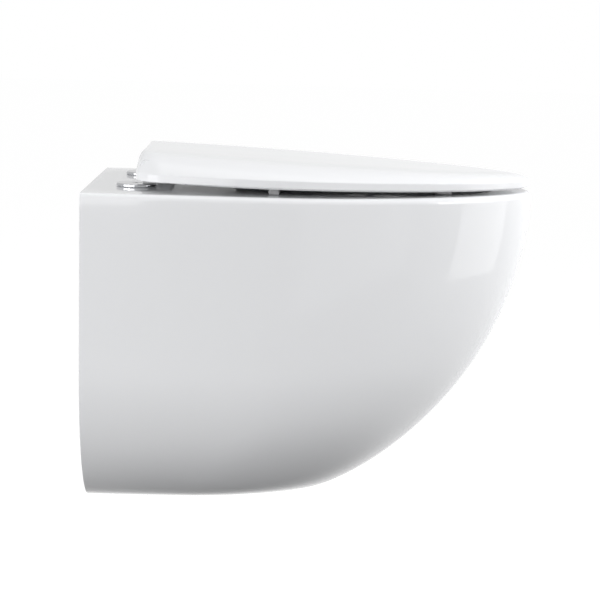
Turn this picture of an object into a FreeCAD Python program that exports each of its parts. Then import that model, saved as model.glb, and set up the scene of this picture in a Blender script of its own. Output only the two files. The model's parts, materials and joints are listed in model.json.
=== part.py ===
"""Wall hung toilet: hollow ceramic bowl, soft-close hinges, seat and wrap-over lid.

Sizes are in millimetres. x runs across the bowl, depth is the distance from the wall
towards the front (row -Y), and z is up. The origin lies on the wall plane, midway
between the two wall fixing holes.
"""
import FreeCAD
import Part
import math
import os

# ---------------------------------------------------------------- bowl, outside
BOWL_LENGTH = 520.0           # wall to front tip, at deck level
BOWL_WIDTH = 350.0            # across the widest place
REAR_WIDTH = 330.0            # across the wall face
BOWL_HEIGHT = 371.0           # deck to underside
DECK_Z = 90.0                 # deck above the wall fixing holes
WIDE_DEPTH = 215.0            # depth of the widest place, at deck level
KEEL_FLOOR_DEPTH = 263.0      # where the flat underside starts to sweep up to the tip
KEEL_FLOOR_HANDLE = 36.0      # reach of the sweep's curve along the floor
KEEL_TIP_HANDLE = 248.0       # reach of the sweep's curve straight down from the tip
SIDE_DROP = 195.0             # the sides are upright this far below the deck
FLOOR_HALF_WIDTH = 36.0       # flat of the underside, each way
SIDE_PULL = 0.46              # how far the side runs straight on from the widest place
TIP_PULL = 0.44               # how blunt the front tip is
RIM_EDGE_RADIUS = 7.0         # round along the outer edge of the deck
SIDE_SWELL = 0.6              # how early the side swells from its rear to the widest place
SKIN_SECTION_COUNT = 12       # outlines that the skin is drawn through

# ---------------------------------------------------------------- bowl, inside
SKIN_WALL = 11.0              # ceramic thickness of the skin
DECK_THICKNESS = 14.0
BASIN_WALL = 10.0
RIM_BREADTH = 47.0            # flat rim between outer edge and basin, at the side
RIM_TIP_BREADTH = 46.0        # the same at the front
BASIN_REAR_DEPTH = 152.0      # rear of the basin's mouth
BASIN_EDGE_RADIUS = 5.0       # round along the basin's mouth
SUMP_AHEAD = 8.0              # middle of the basin's floor in front of the trap's mouth
SUMP_BELOW = 9.0              # basin's floor under the middle of the trap's mouth
SUMP_LENGTH = 56.0
SUMP_HALF_WIDTH = 34.0
# share of the way down, and how far the outline has closed in at rear, tip and side
BASIN_SECTIONS = ((0.0, 0.0, 0.0, 0.0), (0.12, 0.0, 0.02, 0.02), (0.35, 0.12, 0.2, 0.16),
                  (0.58, 0.42, 0.5, 0.42), (0.8, 0.9, 0.77, 0.74), (1.0, 1.0, 1.0, 1.0))

# ---------------------------------------------------------------- ovals of basin and seat hole
OVAL_WIDE_SHARE = 0.42        # widest place, as a share of the length from the rear
OVAL_REAR_PULL = 0.62         # how blunt the rear end is
OVAL_SIDE_PULL = 0.6          # how far the side runs straight on behind the widest place

# ---------------------------------------------------------------- water ways
OUTLET_Z = -100.0             # outlet axis below the wall fixing holes
OUTLET_SPIGOT_RADIUS = 51.0
TRAP_BORE_RADIUS = 40.0
OUTLET_RUN = 30.0             # straight run behind the outlet face
OUTLET_BEND_RADIUS = 58.0
WEIR_BEND_RADIUS = 56.0
WEIR_SLOPE = 60.0             # degrees, both legs of the trap under the weir
TRAP_LEG = 85.0               # straight leg between weir and dip
DIP_BEND_RADIUS = 60.0
DIP_TURN = 90.0               # degrees turned at the dip
MOUTH_RUN = 15.0              # straight run from the dip into the sump
INLET_Z = 35.0                # flush inlet axis above the wall fixing holes
INLET_SOCKET_RADIUS = 27.5
INLET_SOCKET_DEPTH = 34.0
INLET_WALL = 9.0
DUCT_RADIUS = 21.0
FLUSH_PIPE_RADIUS = 22.5      # flush pipe that the inlet seal takes
SEAL_SETBACK = 2.0            # the seal's end inside the socket's mouth

# ---------------------------------------------------------------- wall fixing
FIXING_SPACING = 180.0        # between the two wall studs
STUD_HOLE_RADIUS = 6.25       # clears an M12 stud
WEB_THICKNESS = 14.0          # ceramic web against the wall
DRAIN_ROOM = 68.0             # free radius round the outlet for the drain's socket
FIXING_SOCKET_RADIUS = 17.5
FIXING_SOCKET_WALL = 9.0
FIXING_SOCKET_DEPTH = 82.0
ANCHOR_CLEARANCE = 0.3
CLAMP_SCREW_RADIUS = 4.0
CLAMP_SCREW_PROUD = 6.0       # the screw's stand over its sleeve
CLAMP_WAY_RADIUS = 8.0        # tool way through the socket wall
CLAMP_KEY_RADIUS = 2.2        # inscribed radius of the hexagon socket
CLAMP_KEY_DEPTH = 4.0
CLAMP_TIP_GAP = 0.6           # sleeve material left over the stud hole

# ---------------------------------------------------------------- hinges
HINGE_SPACING = 150.0         # between the two hinge bolts
HINGE_HOLE_DEPTH = 55.0       # hinge bolts from the wall
HINGE_HOLE_RADIUS = 7.5
AXIS_DEPTH = 70.0             # pivot axis from the wall
AXIS_RISE = 26.0              # pivot axis over the deck
DISC_RADIUS = 23.0
DISC_THICKNESS = 4.0
DISC_EDGE_RADIUS = 1.2
BLOCK_WIDTH = 16.0
BLOCK_BARREL_RADIUS = 7.0
FOOT_THICKNESS = 5.0
FOOT_REAR_DEPTH = 62.0
STEM_REAR_DEPTH = 84.5
STEM_FRONT_DEPTH = 90.0
NECK_HALF_HEIGHT = 6.0        # of the neck between the stem and the barrel
PIN_RADIUS = 3.5
PIN_FIT = 0.05                # radial running clearance
PIN_GRIP = 7.0                # length held in the hinge block
PIN_REACH = 30.0              # length in the knuckle
DAMPER_RADIUS = 6.0
DAMPER_LENGTH = 40.0
KNUCKLE_RADIUS = 8.0
KNUCKLE_LENGTH = 44.0
SIDE_PLAY = 0.5               # between knuckle and hinge block
BOLT_RADIUS = 3.0
BOLT_HEAD_RADIUS = 6.0
BOLT_HEAD_HEIGHT = 3.0
PLUG_LENGTH = 28.0
PLUG_CLEARANCE = 0.3
NUT_LENGTH = 10.0
NUT_TIP_RADIUS = 5.0

# ---------------------------------------------------------------- lid
LID_REAR_DEPTH = 57.0
LID_SIDE_INSET = 9.0          # lid inside the bowl's widest outline
LID_TIP_INSET = 1.5
LID_REAR_INSET = 13.0         # lid inside the bowl's rear width
LID_CORNER_RADIUS = 36.4      # rear corners, in plan
LID_GAP_REAR = 11.7           # skirt over the deck
LID_GAP_FRONT = 5.8
LID_TOP_REAR = 42.0           # top over the deck
LID_TOP_FRONT = 19.4
LID_BAND_REAR = 20.4          # upper edge of the upright band, over the deck
LID_BAND_FRONT = 13.6
CROWN_SIDE_RUN = 80.0         # run of the crown from the band to the flat top, at the sides
CROWN_TIP_RUN = 40.0          # the same at the front
CROWN_REAR_RUN = 8.5          # the same at the rear
CROWN_CORNER_LOSS = 28.0      # rear corners' radius lost over the crown
CROWN_POWER = 3.5             # how soon the crown flattens
INNER_BAND_DROP = 1.2         # band's upper edge inside the shell, below the outer one
LID_WALL = 3.5
NOTCH_CLEARANCE = 1.5         # each side of a hinge block
HINGE_RELIEF = 1.0            # between the turning knuckles and the lid's inside

# ---------------------------------------------------------------- seat
SEAT_REAR_DEPTH = 92.0
SEAT_CLEARANCE = 1.5          # inside the lid's skirt
SEAT_CORNER_RADIUS = 34.0
SEAT_BELOW_SKIRT = 2.0        # the seat's lower face below the lid's skirt
SEAT_THICK_REAR = 16.4
SEAT_THICK_FRONT = 8.6
SEAT_EDGE_SHARE = 0.5         # upright share of the seat's outer edge
SEAT_CROWN_RUN = 22.0         # run of the seat's own crown, from its outer edge
SEAT_CROWN_POWER = 2.2
SEAT_LOW_ROUND = 1.5
SEAT_HOLE_REAR = 168.0
SEAT_TIP_BREADTH = 84.0       # from the bowl's tip back to the seat's opening
SEAT_SIDE_BREADTH = 68.0      # from the bowl's widest place in to it
SEAT_HOLE_ROUND = 5.0
ARM_LOW_RISE = 21.0           # hinge arms over the deck
ARM_THICKNESS = 9.5
ARM_FRONT_DEPTH = 104.0

# ---------------------------------------------------------------- soft feet
REAR_BUMPER_DEPTH = 210.0
FRONT_BUMPER_SETBACK = 116.0  # behind the bowl's tip
REAR_BUMPER_LENGTH = 12.0
FRONT_BUMPER_LENGTH = 18.0
SEAT_BUMPER_WIDTH = 12.0
SEAT_BUMPER_ROUND = 2.5
LID_BUMPER_RADIUS = 6.0
REST_GAP = 0.3                # left under a soft foot

WALL_MARGIN = 20.0            # solids drawn past the wall plane, then cut flush
QUARTER = 0.5523              # handle of a quarter circle drawn as a cubic curve
ROUND_STEPS = 4               # outlines along a rounded seat edge
CROWN_STEPS = 7               # outlines along a crown
CLOSE = 0.01                  # how near an edge must be to count as lying on a face
WINDOW_MARGIN = 1.0           # slack round a mouth whose edges are picked
SIDES = {"left": -1.0, "right": 1.0}


# ================================================================ drawing helpers
def at(x, depth, z):
    """Point from its place across, its distance from the wall and its height."""
    return FreeCAD.Vector(x, -depth, z)


def slanted(rear, front):
    """Height over the deck, as a function of depth, that runs straight along the lid."""
    run = BOWL_LENGTH - LID_TIP_INSET - LID_REAR_DEPTH
    return lambda depth: DECK_Z + rear + (front - rear) * (depth - LID_REAR_DEPTH) / run


def level(z):
    """The same, for a flat height."""
    return lambda depth: z


def edge(poles, height):
    """Straight or cubic edge through (x, depth) poles laid on a height function."""
    points = [at(x, depth, height(depth)) for x, depth in poles]
    if len(points) == 2:
        return Part.makeLine(*points)
    curve = Part.BezierCurve()
    curve.setPoles(points)
    return curve.toShape()


def closed_wire(half, height):
    """Wire of a half outline, from rear centre to front centre, and its mirror image."""
    mirrored = [[(-x, depth) for x, depth in reversed(poles)] for poles in reversed(half)]
    return Part.Wire([edge(poles, height) for poles in half + mirrored])


def loft(wires, ruled=False):
    """Solid through closed outlines."""
    return Part.makeLoft(wires, True, ruled)


def box(low, high):
    """Box between two (x, depth, z) corners."""
    size = [high[i] - low[i] for i in range(3)]
    return Part.makeBox(size[0], size[1], size[2], at(low[0], high[1], low[2]))


def rod(radius, start, end):
    """Cylinder between two points."""
    run = end.sub(start)
    return Part.makeCylinder(radius, run.Length, start, run)


def cone(start_radius, end_radius, start, end):
    """Truncated cone between two points."""
    run = end.sub(start)
    return Part.makeCone(start_radius, end_radius, run.Length, start, run)


def merged(first, *others):
    """One clean solid from overlapping ones."""
    return first.multiFuse(list(others)).removeSplitter()


def steps(count):
    """Angles from 0 to 90 degrees, in radians."""
    return [math.radians(90.0 * i / (count - 1)) for i in range(count)]


# ================================================================ outlines in plan
def front_curve(half_width, wide_depth, tip_depth):
    """Quarter of the egg shape, from the widest place to the front tip."""
    reach = tip_depth - wide_depth
    return [(half_width, wide_depth), (half_width, wide_depth + SIDE_PULL * reach),
            (TIP_PULL * half_width, tip_depth), (0.0, tip_depth)]


def side_curve(rear_half, rear_depth, half_width, wide_depth):
    """Slightly bulging side, from its rear end to the widest place."""
    third = (wide_depth - rear_depth) / 3.0
    swell = SIDE_SWELL * (half_width - rear_half)
    return [(rear_half, rear_depth), (rear_half + swell, rear_depth + third),
            (half_width, wide_depth - third), (half_width, wide_depth)]


def skin_outline(half_width, tip_depth):
    """D outline of the bowl, drawn past the wall plane."""
    rear_half = half_width * REAR_WIDTH / BOWL_WIDTH
    wide_depth = WIDE_DEPTH * tip_depth / BOWL_LENGTH
    return [[(0.0, -WALL_MARGIN), (rear_half, -WALL_MARGIN)],
            side_curve(rear_half, -WALL_MARGIN, half_width, wide_depth),
            front_curve(half_width, wide_depth, tip_depth)]


def cover_outline(rear_depth, corner_radius, side_inset, tip_inset):
    """Outline of lid or seat, inset at sides and tip from the lid's own edge."""
    half_width = BOWL_WIDTH / 2.0 - LID_SIDE_INSET - side_inset
    rear_half = REAR_WIDTH / 2.0 - LID_REAR_INSET - side_inset
    tip_depth = BOWL_LENGTH - LID_TIP_INSET - tip_inset
    radius = corner_radius
    handle = radius * (1.0 - QUARTER)
    corner_end = rear_depth + radius
    corner = [(rear_half - radius, rear_depth), (rear_half - handle, rear_depth),
              (rear_half, rear_depth + handle), (rear_half, corner_end)]
    return [[(0.0, rear_depth), (rear_half - radius, rear_depth)], corner,
            side_curve(rear_half, corner_end, half_width, WIDE_DEPTH),
            front_curve(half_width, WIDE_DEPTH, tip_depth)]


def lid_outline(inset, closing=0.0):
    """Lid's edge moved in by a wall and by a share of the crown's run."""
    return cover_outline(LID_REAR_DEPTH + inset + closing * CROWN_REAR_RUN,
                         LID_CORNER_RADIUS - inset - closing * CROWN_CORNER_LOSS,
                         inset + closing * CROWN_SIDE_RUN, inset + closing * CROWN_TIP_RUN)


def seat_outline(inset):
    outer = LID_WALL + SEAT_CLEARANCE
    return cover_outline(SEAT_REAR_DEPTH + inset, SEAT_CORNER_RADIUS - inset, outer + inset, outer + inset)


def egg_outline(rear_depth, tip_depth, half_width):
    """Closed oval, blunter at the rear than at the front."""
    wide_depth = rear_depth + OVAL_WIDE_SHARE * (tip_depth - rear_depth)
    side_depth = wide_depth - OVAL_SIDE_PULL * (wide_depth - rear_depth)
    rear = [(0.0, rear_depth), (OVAL_REAR_PULL * half_width, rear_depth),
            (half_width, side_depth), (half_width, wide_depth)]
    return [rear, front_curve(half_width, wide_depth, tip_depth)]


def hole_ends():
    """Front end and half width of the seat's opening."""
    return BOWL_LENGTH - SEAT_TIP_BREADTH, BOWL_WIDTH / 2.0 - SEAT_SIDE_BREADTH


def hole_outline():
    return egg_outline(SEAT_HOLE_REAR, *hole_ends())


# ================================================================ bowl
def side_half_width(drop, inset):
    """Half width at a drop below the deck: upright, then a quarter ellipse to the floor."""
    full = BOWL_WIDTH / 2.0 - inset
    floor = FLOOR_HALF_WIDTH - inset / 2.0
    if drop <= SIDE_DROP:
        return full
    share = (drop - SIDE_DROP) / (BOWL_HEIGHT - inset - SIDE_DROP)
    return floor + (full - floor) * math.sqrt(max(0.0, 1.0 - share * share))


def keel_curve(inset):
    """Sweep of the keel in the middle plane, from the flat floor up to the front tip."""
    floor = BOWL_HEIGHT - inset
    tip = BOWL_LENGTH - inset
    curve = Part.BezierCurve()
    curve.setPoles([FreeCAD.Vector(depth, drop, 0.0) for depth, drop in (
        (KEEL_FLOOR_DEPTH, floor), (KEEL_FLOOR_DEPTH + KEEL_FLOOR_HANDLE, floor),
        (tip, KEEL_TIP_HANDLE), (tip, 0.0))])
    return curve


def skin_solid(inset):
    """Bowl filled solid, with every outer face moved in by the inset."""
    keel = keel_curve(inset)
    wires = []
    for index in range(SKIN_SECTION_COUNT):
        place = keel.value(index / (SKIN_SECTION_COUNT - 1.0))
        outline = skin_outline(side_half_width(place.y, inset), place.x)
        wires.append(closed_wire(outline, level(DECK_Z - place.y)))
    return loft(wires)


def in_front_of_wall(shape):
    """Shape cut flush with the wall plane."""
    behind = box((-BOWL_WIDTH, -2.0 * WALL_MARGIN, DECK_Z - 2.0 * BOWL_HEIGHT),
                 (BOWL_WIDTH, 0.0, DECK_Z + BOWL_HEIGHT))
    return shape.cut(behind)


def rounded_skin():
    """Outside of the bowl with its soft deck edge."""
    skin = in_front_of_wall(skin_solid(0.0))
    near_wall = RIM_EDGE_RADIUS / 2.0
    deck_edges = [e for e in skin.Edges
                  if e.BoundBox.ZMin > DECK_Z - CLOSE and e.BoundBox.YMin < -near_wall]
    return skin.makeFillet(RIM_EDGE_RADIUS, deck_edges)


def basin_solid(grow=0.0):
    """Basin from its mouth to the sump; grown, it is the outside of the basin's wall."""
    mouth_tip = BOWL_LENGTH - RIM_TIP_BREADTH
    mouth_half = BOWL_WIDTH / 2.0 - RIM_BREADTH
    mouth = trap_path()[1]
    sump_rear = mouth[0] + SUMP_AHEAD - SUMP_LENGTH / 2.0
    sump_tip = sump_rear + SUMP_LENGTH
    depth_of_basin = DECK_Z - mouth[1] + SUMP_BELOW
    wires = []
    for fall, rear, tip, side in BASIN_SECTIONS:
        rear_depth = BASIN_REAR_DEPTH + rear * (sump_rear - BASIN_REAR_DEPTH) - grow
        tip_depth = mouth_tip + tip * (sump_tip - mouth_tip) + grow
        half_width = mouth_half + side * (SUMP_HALF_WIDTH - mouth_half) + grow
        outline = egg_outline(rear_depth, tip_depth, half_width)
        wires.append(closed_wire(outline, level(DECK_Z - fall * depth_of_basin - grow)))
    return loft(wires)


def trap_path():
    """Centre line of the trap, from the outlet face over the weir and through the dip.

    It comes with the (depth, z) place of its end, the trap's mouth in the basin."""
    place = (-WALL_MARGIN, OUTLET_Z)
    heading = 0.0
    edges = []
    route = (("run", WALL_MARGIN + OUTLET_RUN), ("bend", OUTLET_BEND_RADIUS, WEIR_SLOPE),
             ("bend", WEIR_BEND_RADIUS, -2.0 * WEIR_SLOPE), ("run", TRAP_LEG),
             ("bend", DIP_BEND_RADIUS, DIP_TURN), ("run", MOUTH_RUN))
    for step in route:
        if step[0] == "run":
            place, made = straight(place, heading, step[1])
        else:
            place, made = bend(place, heading, step[1], step[2])
            heading += step[2]
        edges.append(made)
    return Part.Wire(edges), place


def straight(place, heading, length):
    """Straight stretch in the middle plane: its end and its edge."""
    angle = math.radians(heading)
    end = (place[0] + length * math.cos(angle), place[1] + length * math.sin(angle))
    return end, Part.makeLine(at(0.0, *place), at(0.0, *end))


def bend(place, heading, radius, turn):
    """Arc in the middle plane, turning up when turn is positive: its end and its edge."""
    side = math.copysign(1.0, turn)
    centre = (place[0] - side * radius * math.sin(math.radians(heading)),
              place[1] + side * radius * math.cos(math.radians(heading)))

    def on_arc(turned):
        angle = math.radians(heading + turned)
        return (centre[0] + side * radius * math.sin(angle),
                centre[1] - side * radius * math.cos(angle))

    end = on_arc(turn)
    arc = Part.Arc(at(0.0, *place), at(0.0, *on_arc(turn / 2.0)), at(0.0, *end))
    return end, arc.toShape()


def trap_pipe(radius):
    """Trap as a solid round bar of the given radius."""
    path = trap_path()[0]
    start = at(0.0, -WALL_MARGIN, OUTLET_Z)
    profile = Part.Wire([Part.makeCircle(radius, start, at(0.0, 1.0, 0.0))])
    return path.makePipeShell([profile], True, False)


def duct_pipe(radius, start_depth, end_depth):
    """Round bar on the flush inlet's axis."""
    return rod(radius, at(0.0, start_depth, INLET_Z), at(0.0, end_depth, INLET_Z))


def socket_pipe(side, radius, end_depth):
    """Round bar on a wall fixing hole's axis."""
    x = side * FIXING_SPACING / 2.0
    return rod(radius, at(x, -WALL_MARGIN, 0.0), at(x, end_depth, 0.0))


def clamp_line(side):
    """Start over the stud hole and unit direction of the slanted clamp screw."""
    foot = at(side * FIXING_SPACING / 2.0, HINGE_HOLE_DEPTH, 0.0)
    mouth = at(side * HINGE_SPACING / 2.0, HINGE_HOLE_DEPTH, DECK_Z)
    return foot, mouth.sub(foot).normalize()


def along(line, distance):
    """Point on a (foot, direction) line."""
    foot, direction = line
    return foot.add(direction * distance)


def hollow():
    """Room between skin and basin, round the water ways, sockets and web."""
    room = skin_solid(SKIN_WALL)
    deck = box((-BOWL_WIDTH, -2.0 * WALL_MARGIN, DECK_Z - DECK_THICKNESS),
               (BOWL_WIDTH, BOWL_LENGTH, DECK_Z + BOWL_HEIGHT))
    web = box((-BOWL_WIDTH, -2.0 * WALL_MARGIN, OUTLET_Z + DRAIN_ROOM),
              (BOWL_WIDTH, WEB_THICKNESS, DECK_Z))
    duct_wall = INLET_SOCKET_RADIUS + INLET_WALL
    socket_wall = FIXING_SOCKET_RADIUS + FIXING_SOCKET_WALL
    kept = [deck, web, basin_solid(BASIN_WALL), trap_pipe(OUTLET_SPIGOT_RADIUS),
            duct_pipe(duct_wall, -WALL_MARGIN, INLET_SOCKET_DEPTH + INLET_WALL),
            duct_pipe(DUCT_RADIUS + INLET_WALL, 0.0, BASIN_REAR_DEPTH + BASIN_WALL)]
    kept += [socket_pipe(side, socket_wall, FIXING_SOCKET_DEPTH) for side in SIDES.values()]
    return room.cut(kept[0]).cut(kept[1:])


def bowl():
    """One hollow ceramic casting."""
    openings = [hollow(), basin_solid(), trap_pipe(TRAP_BORE_RADIUS),
                duct_pipe(INLET_SOCKET_RADIUS, -WALL_MARGIN, INLET_SOCKET_DEPTH),
                duct_pipe(DUCT_RADIUS, 0.0, BASIN_REAR_DEPTH + 2.0 * BASIN_WALL)]
    for side in SIDES.values():
        line = clamp_line(side)
        way_end = FIXING_SOCKET_RADIUS + 2.0 * FIXING_SOCKET_WALL
        x = side * HINGE_SPACING / 2.0
        openings.append(socket_pipe(side, FIXING_SOCKET_RADIUS, FIXING_SOCKET_DEPTH + WALL_MARGIN))
        openings.append(rod(CLAMP_WAY_RADIUS, along(line, 0.0), along(line, way_end)))
        openings.append(rod(HINGE_HOLE_RADIUS, at(x, HINGE_HOLE_DEPTH, DECK_Z - 2.0 * DECK_THICKNESS),
                            at(x, HINGE_HOLE_DEPTH, DECK_Z + DECK_THICKNESS)))
    casting = rounded_skin()
    for opening in openings:
        casting = casting.cut(opening)
    half_width = BOWL_WIDTH / 2.0 - RIM_BREADTH + WINDOW_MARGIN
    window = ((-half_width, BASIN_REAR_DEPTH - WINDOW_MARGIN),
              (half_width, BOWL_LENGTH - RIM_TIP_BREADTH + WINDOW_MARGIN))
    return casting.makeFillet(BASIN_EDGE_RADIUS, mouth_edges(casting, *window, level(DECK_Z)))


# ================================================================ wall fixing and inlet
def fixing_anchor(side):
    """Nylon sleeve in the ceramic socket, with the stud hole and the clamp screw's thread."""
    radius = FIXING_SOCKET_RADIUS - ANCHOR_CLEARANCE
    x = side * FIXING_SPACING / 2.0
    sleeve = rod(radius, at(x, 0.0, 0.0), at(x, FIXING_SOCKET_DEPTH, 0.0))
    stud_hole = rod(STUD_HOLE_RADIUS, at(x, -WALL_MARGIN, 0.0), at(x, 2.0 * FIXING_SOCKET_DEPTH, 0.0))
    line = clamp_line(side)
    thread = rod(CLAMP_SCREW_RADIUS, along(line, STUD_HOLE_RADIUS + CLAMP_TIP_GAP),
                 along(line, 2.0 * radius))
    return sleeve.cut(stud_hole).cut(thread)


def hexagon_bar(radius, line, start, length):
    """Six-sided bar on a line, with the given inscribed radius."""
    foot, direction = line
    across = direction.cross(FreeCAD.Vector(0.0, 1.0, 0.0)).normalize()
    corner_radius = radius / math.cos(math.radians(30.0))
    base = along(line, start)
    corners = []
    for index in range(7):
        turn = FreeCAD.Rotation(direction, 60.0 * index)
        corners.append(base.add(turn.multVec(across * corner_radius)))
    return Part.Face(Part.makePolygon(corners)).extrude(direction * length)


def clamp_screw(side):
    """Set screw that locks the sleeve on its stud, with a hexagon socket."""
    line = clamp_line(side)
    tip = STUD_HOLE_RADIUS + CLAMP_TIP_GAP
    top = FIXING_SOCKET_RADIUS + CLAMP_SCREW_PROUD
    screw = rod(CLAMP_SCREW_RADIUS, along(line, tip), along(line, top))
    key = hexagon_bar(CLAMP_KEY_RADIUS, line, top - CLAMP_KEY_DEPTH, 2.0 * CLAMP_KEY_DEPTH)
    return screw.cut(key)


def inlet_seal():
    """Rubber sleeve between the inlet socket and the flush pipe."""
    sleeve = duct_pipe(INLET_SOCKET_RADIUS, SEAL_SETBACK, INLET_SOCKET_DEPTH)
    return sleeve.cut(duct_pipe(FLUSH_PIPE_RADIUS, -WALL_MARGIN, 2.0 * INLET_SOCKET_DEPTH))


# ================================================================ hinges
def axis_point(x):
    """Point on the pivot axis."""
    return at(x, AXIS_DEPTH, DECK_Z + AXIS_RISE)


def hinge_disc(side):
    """Chrome base disc with a countersunk bolt hole."""
    x = side * HINGE_SPACING / 2.0
    top = DECK_Z + DISC_THICKNESS
    disc = rod(DISC_RADIUS, at(x, HINGE_HOLE_DEPTH, DECK_Z), at(x, HINGE_HOLE_DEPTH, top))
    rim = [e for e in disc.Edges if e.BoundBox.ZMin > top - CLOSE]
    disc = disc.makeFillet(DISC_EDGE_RADIUS, rim)
    return disc.cut(bolt_solid(x))


def bolt_solid(x):
    """Countersunk bolt from the disc's top down to the end of its nut."""
    top = DECK_Z + DISC_THICKNESS
    neck = top - BOLT_HEAD_HEIGHT
    end = DECK_Z - PLUG_LENGTH - NUT_LENGTH
    head = cone(BOLT_RADIUS, BOLT_HEAD_RADIUS, at(x, HINGE_HOLE_DEPTH, neck),
                at(x, HINGE_HOLE_DEPTH, top))
    shank = rod(BOLT_RADIUS, at(x, HINGE_HOLE_DEPTH, end), at(x, HINGE_HOLE_DEPTH, neck))
    return merged(head, shank)


def hinge_bolt(side):
    return bolt_solid(side * HINGE_SPACING / 2.0)


def expansion_plug(side):
    """Rubber plug that spreads in the deck hole."""
    x = side * HINGE_SPACING / 2.0
    radius = HINGE_HOLE_RADIUS - PLUG_CLEARANCE
    low = at(x, HINGE_HOLE_DEPTH, DECK_Z - PLUG_LENGTH)
    return rod(radius, low, at(x, HINGE_HOLE_DEPTH, DECK_Z)).cut(bolt_solid(x))


def expansion_nut(side):
    """Tapered nut that the bolt pulls into the plug."""
    x = side * HINGE_SPACING / 2.0
    top = DECK_Z - PLUG_LENGTH
    nut = cone(HINGE_HOLE_RADIUS - PLUG_CLEARANCE, NUT_TIP_RADIUS,
               at(x, HINGE_HOLE_DEPTH, top), at(x, HINGE_HOLE_DEPTH, top - NUT_LENGTH))
    return nut.cut(bolt_solid(x))


def hinge_block(side):
    """Post on the disc: a foot, a stem in front of the axis, a neck and a barrel for two pivots."""
    low = side * HINGE_SPACING / 2.0 - BLOCK_WIDTH / 2.0
    high = low + BLOCK_WIDTH
    foot_z = DECK_Z + DISC_THICKNESS
    axis_z = DECK_Z + AXIS_RISE
    profile = [(FOOT_REAR_DEPTH, foot_z), (STEM_FRONT_DEPTH, foot_z), (STEM_FRONT_DEPTH, axis_z),
               (STEM_REAR_DEPTH, axis_z + NECK_HALF_HEIGHT), (AXIS_DEPTH, axis_z + NECK_HALF_HEIGHT),
               (AXIS_DEPTH, axis_z - NECK_HALF_HEIGHT), (STEM_REAR_DEPTH, axis_z - NECK_HALF_HEIGHT),
               (STEM_REAR_DEPTH, foot_z + FOOT_THICKNESS),
               (FOOT_REAR_DEPTH, foot_z + FOOT_THICKNESS), (FOOT_REAR_DEPTH, foot_z)]
    outline = Part.makePolygon([at(low, depth, z) for depth, z in profile])
    post = Part.Face(outline).extrude(FreeCAD.Vector(BLOCK_WIDTH, 0.0, 0.0))
    barrel = rod(BLOCK_BARREL_RADIUS, axis_point(low), axis_point(high))
    block = merged(post, barrel)
    for face, inward in ((low, 1.0), (high, -1.0)):
        block = block.cut(rod(PIN_RADIUS, axis_point(face), axis_point(face + inward * PIN_GRIP)))
    return block


def knuckle_span(side, outward):
    """Inner and outer end of the knuckle beside a hinge block, and its direction."""
    direction = side * outward
    block_face = side * HINGE_SPACING / 2.0 + direction * BLOCK_WIDTH / 2.0
    near = block_face + direction * SIDE_PLAY
    return block_face, near, direction


def knuckle(side, outward, with_damper):
    """Barrel beside a hinge block, bored for a damper or for a plain pin."""
    _, near, direction = knuckle_span(side, outward)
    barrel = rod(KNUCKLE_RADIUS, axis_point(near), axis_point(near + direction * KNUCKLE_LENGTH))
    radius = DAMPER_RADIUS if with_damper else PIN_RADIUS + PIN_FIT
    length = DAMPER_LENGTH if with_damper else PIN_REACH
    bore = rod(radius, axis_point(near), axis_point(near + direction * length))
    return barrel, bore


def pivot(side, outward):
    """Plain pin or damper spindle, held in the hinge block and reaching into the knuckle."""
    face, near, direction = knuckle_span(side, outward)
    return rod(PIN_RADIUS, axis_point(face - direction * PIN_GRIP),
               axis_point(near + direction * (PIN_REACH - SIDE_PLAY)))


def damper_body(side, outward):
    """Closed cylinder that holds the damping grease, bored for its spindle."""
    _, near, direction = knuckle_span(side, outward)
    body = rod(DAMPER_RADIUS, axis_point(near), axis_point(near + direction * DAMPER_LENGTH))
    bore = rod(PIN_RADIUS + PIN_FIT, axis_point(near), axis_point(near + direction * PIN_REACH))
    return body.cut(bore)


# ================================================================ lid
def lid_low():
    return slanted(LID_GAP_REAR, LID_GAP_FRONT)


def lid_top():
    return slanted(LID_TOP_REAR, LID_TOP_FRONT)


def lid_band_top():
    return slanted(LID_BAND_REAR, LID_BAND_FRONT)


def between(low, top, share):
    """Height function at a share of the way from one slanted height to another."""
    return lambda depth: low(depth) + share * (top(depth) - low(depth))


def shifted(height, rise):
    return lambda depth: height(depth) + rise


def crown_wires(outline, low, top, power):
    """Outlines over a crown that starts with a crease and flattens towards its top."""
    wires = []
    for turn in steps(CROWN_STEPS):
        open_share = math.cos(turn)
        wires.append(closed_wire(outline(1.0 - open_share), between(low, top, 1.0 - open_share ** power)))
    return wires


def lid_shape(inset, band_drop):
    """Wedge with an upright band and a crowned top; inset, it is the room under the shell."""
    top = shifted(lid_top(), -inset)
    band_top = shifted(lid_band_top(), -band_drop)
    band = loft([closed_wire(lid_outline(inset), shifted(lid_low(), -inset)),
                 closed_wire(lid_outline(inset), band_top)], ruled=True)
    crown = crown_wires(lambda closing: lid_outline(inset, closing), band_top, top, CROWN_POWER)
    return merged(band, loft(crown))


def lid_outside():
    return lid_shape(0.0, 0.0)


def lid_room():
    """Room under the lid's shell."""
    return lid_shape(LID_WALL, INNER_BAND_DROP)


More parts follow.
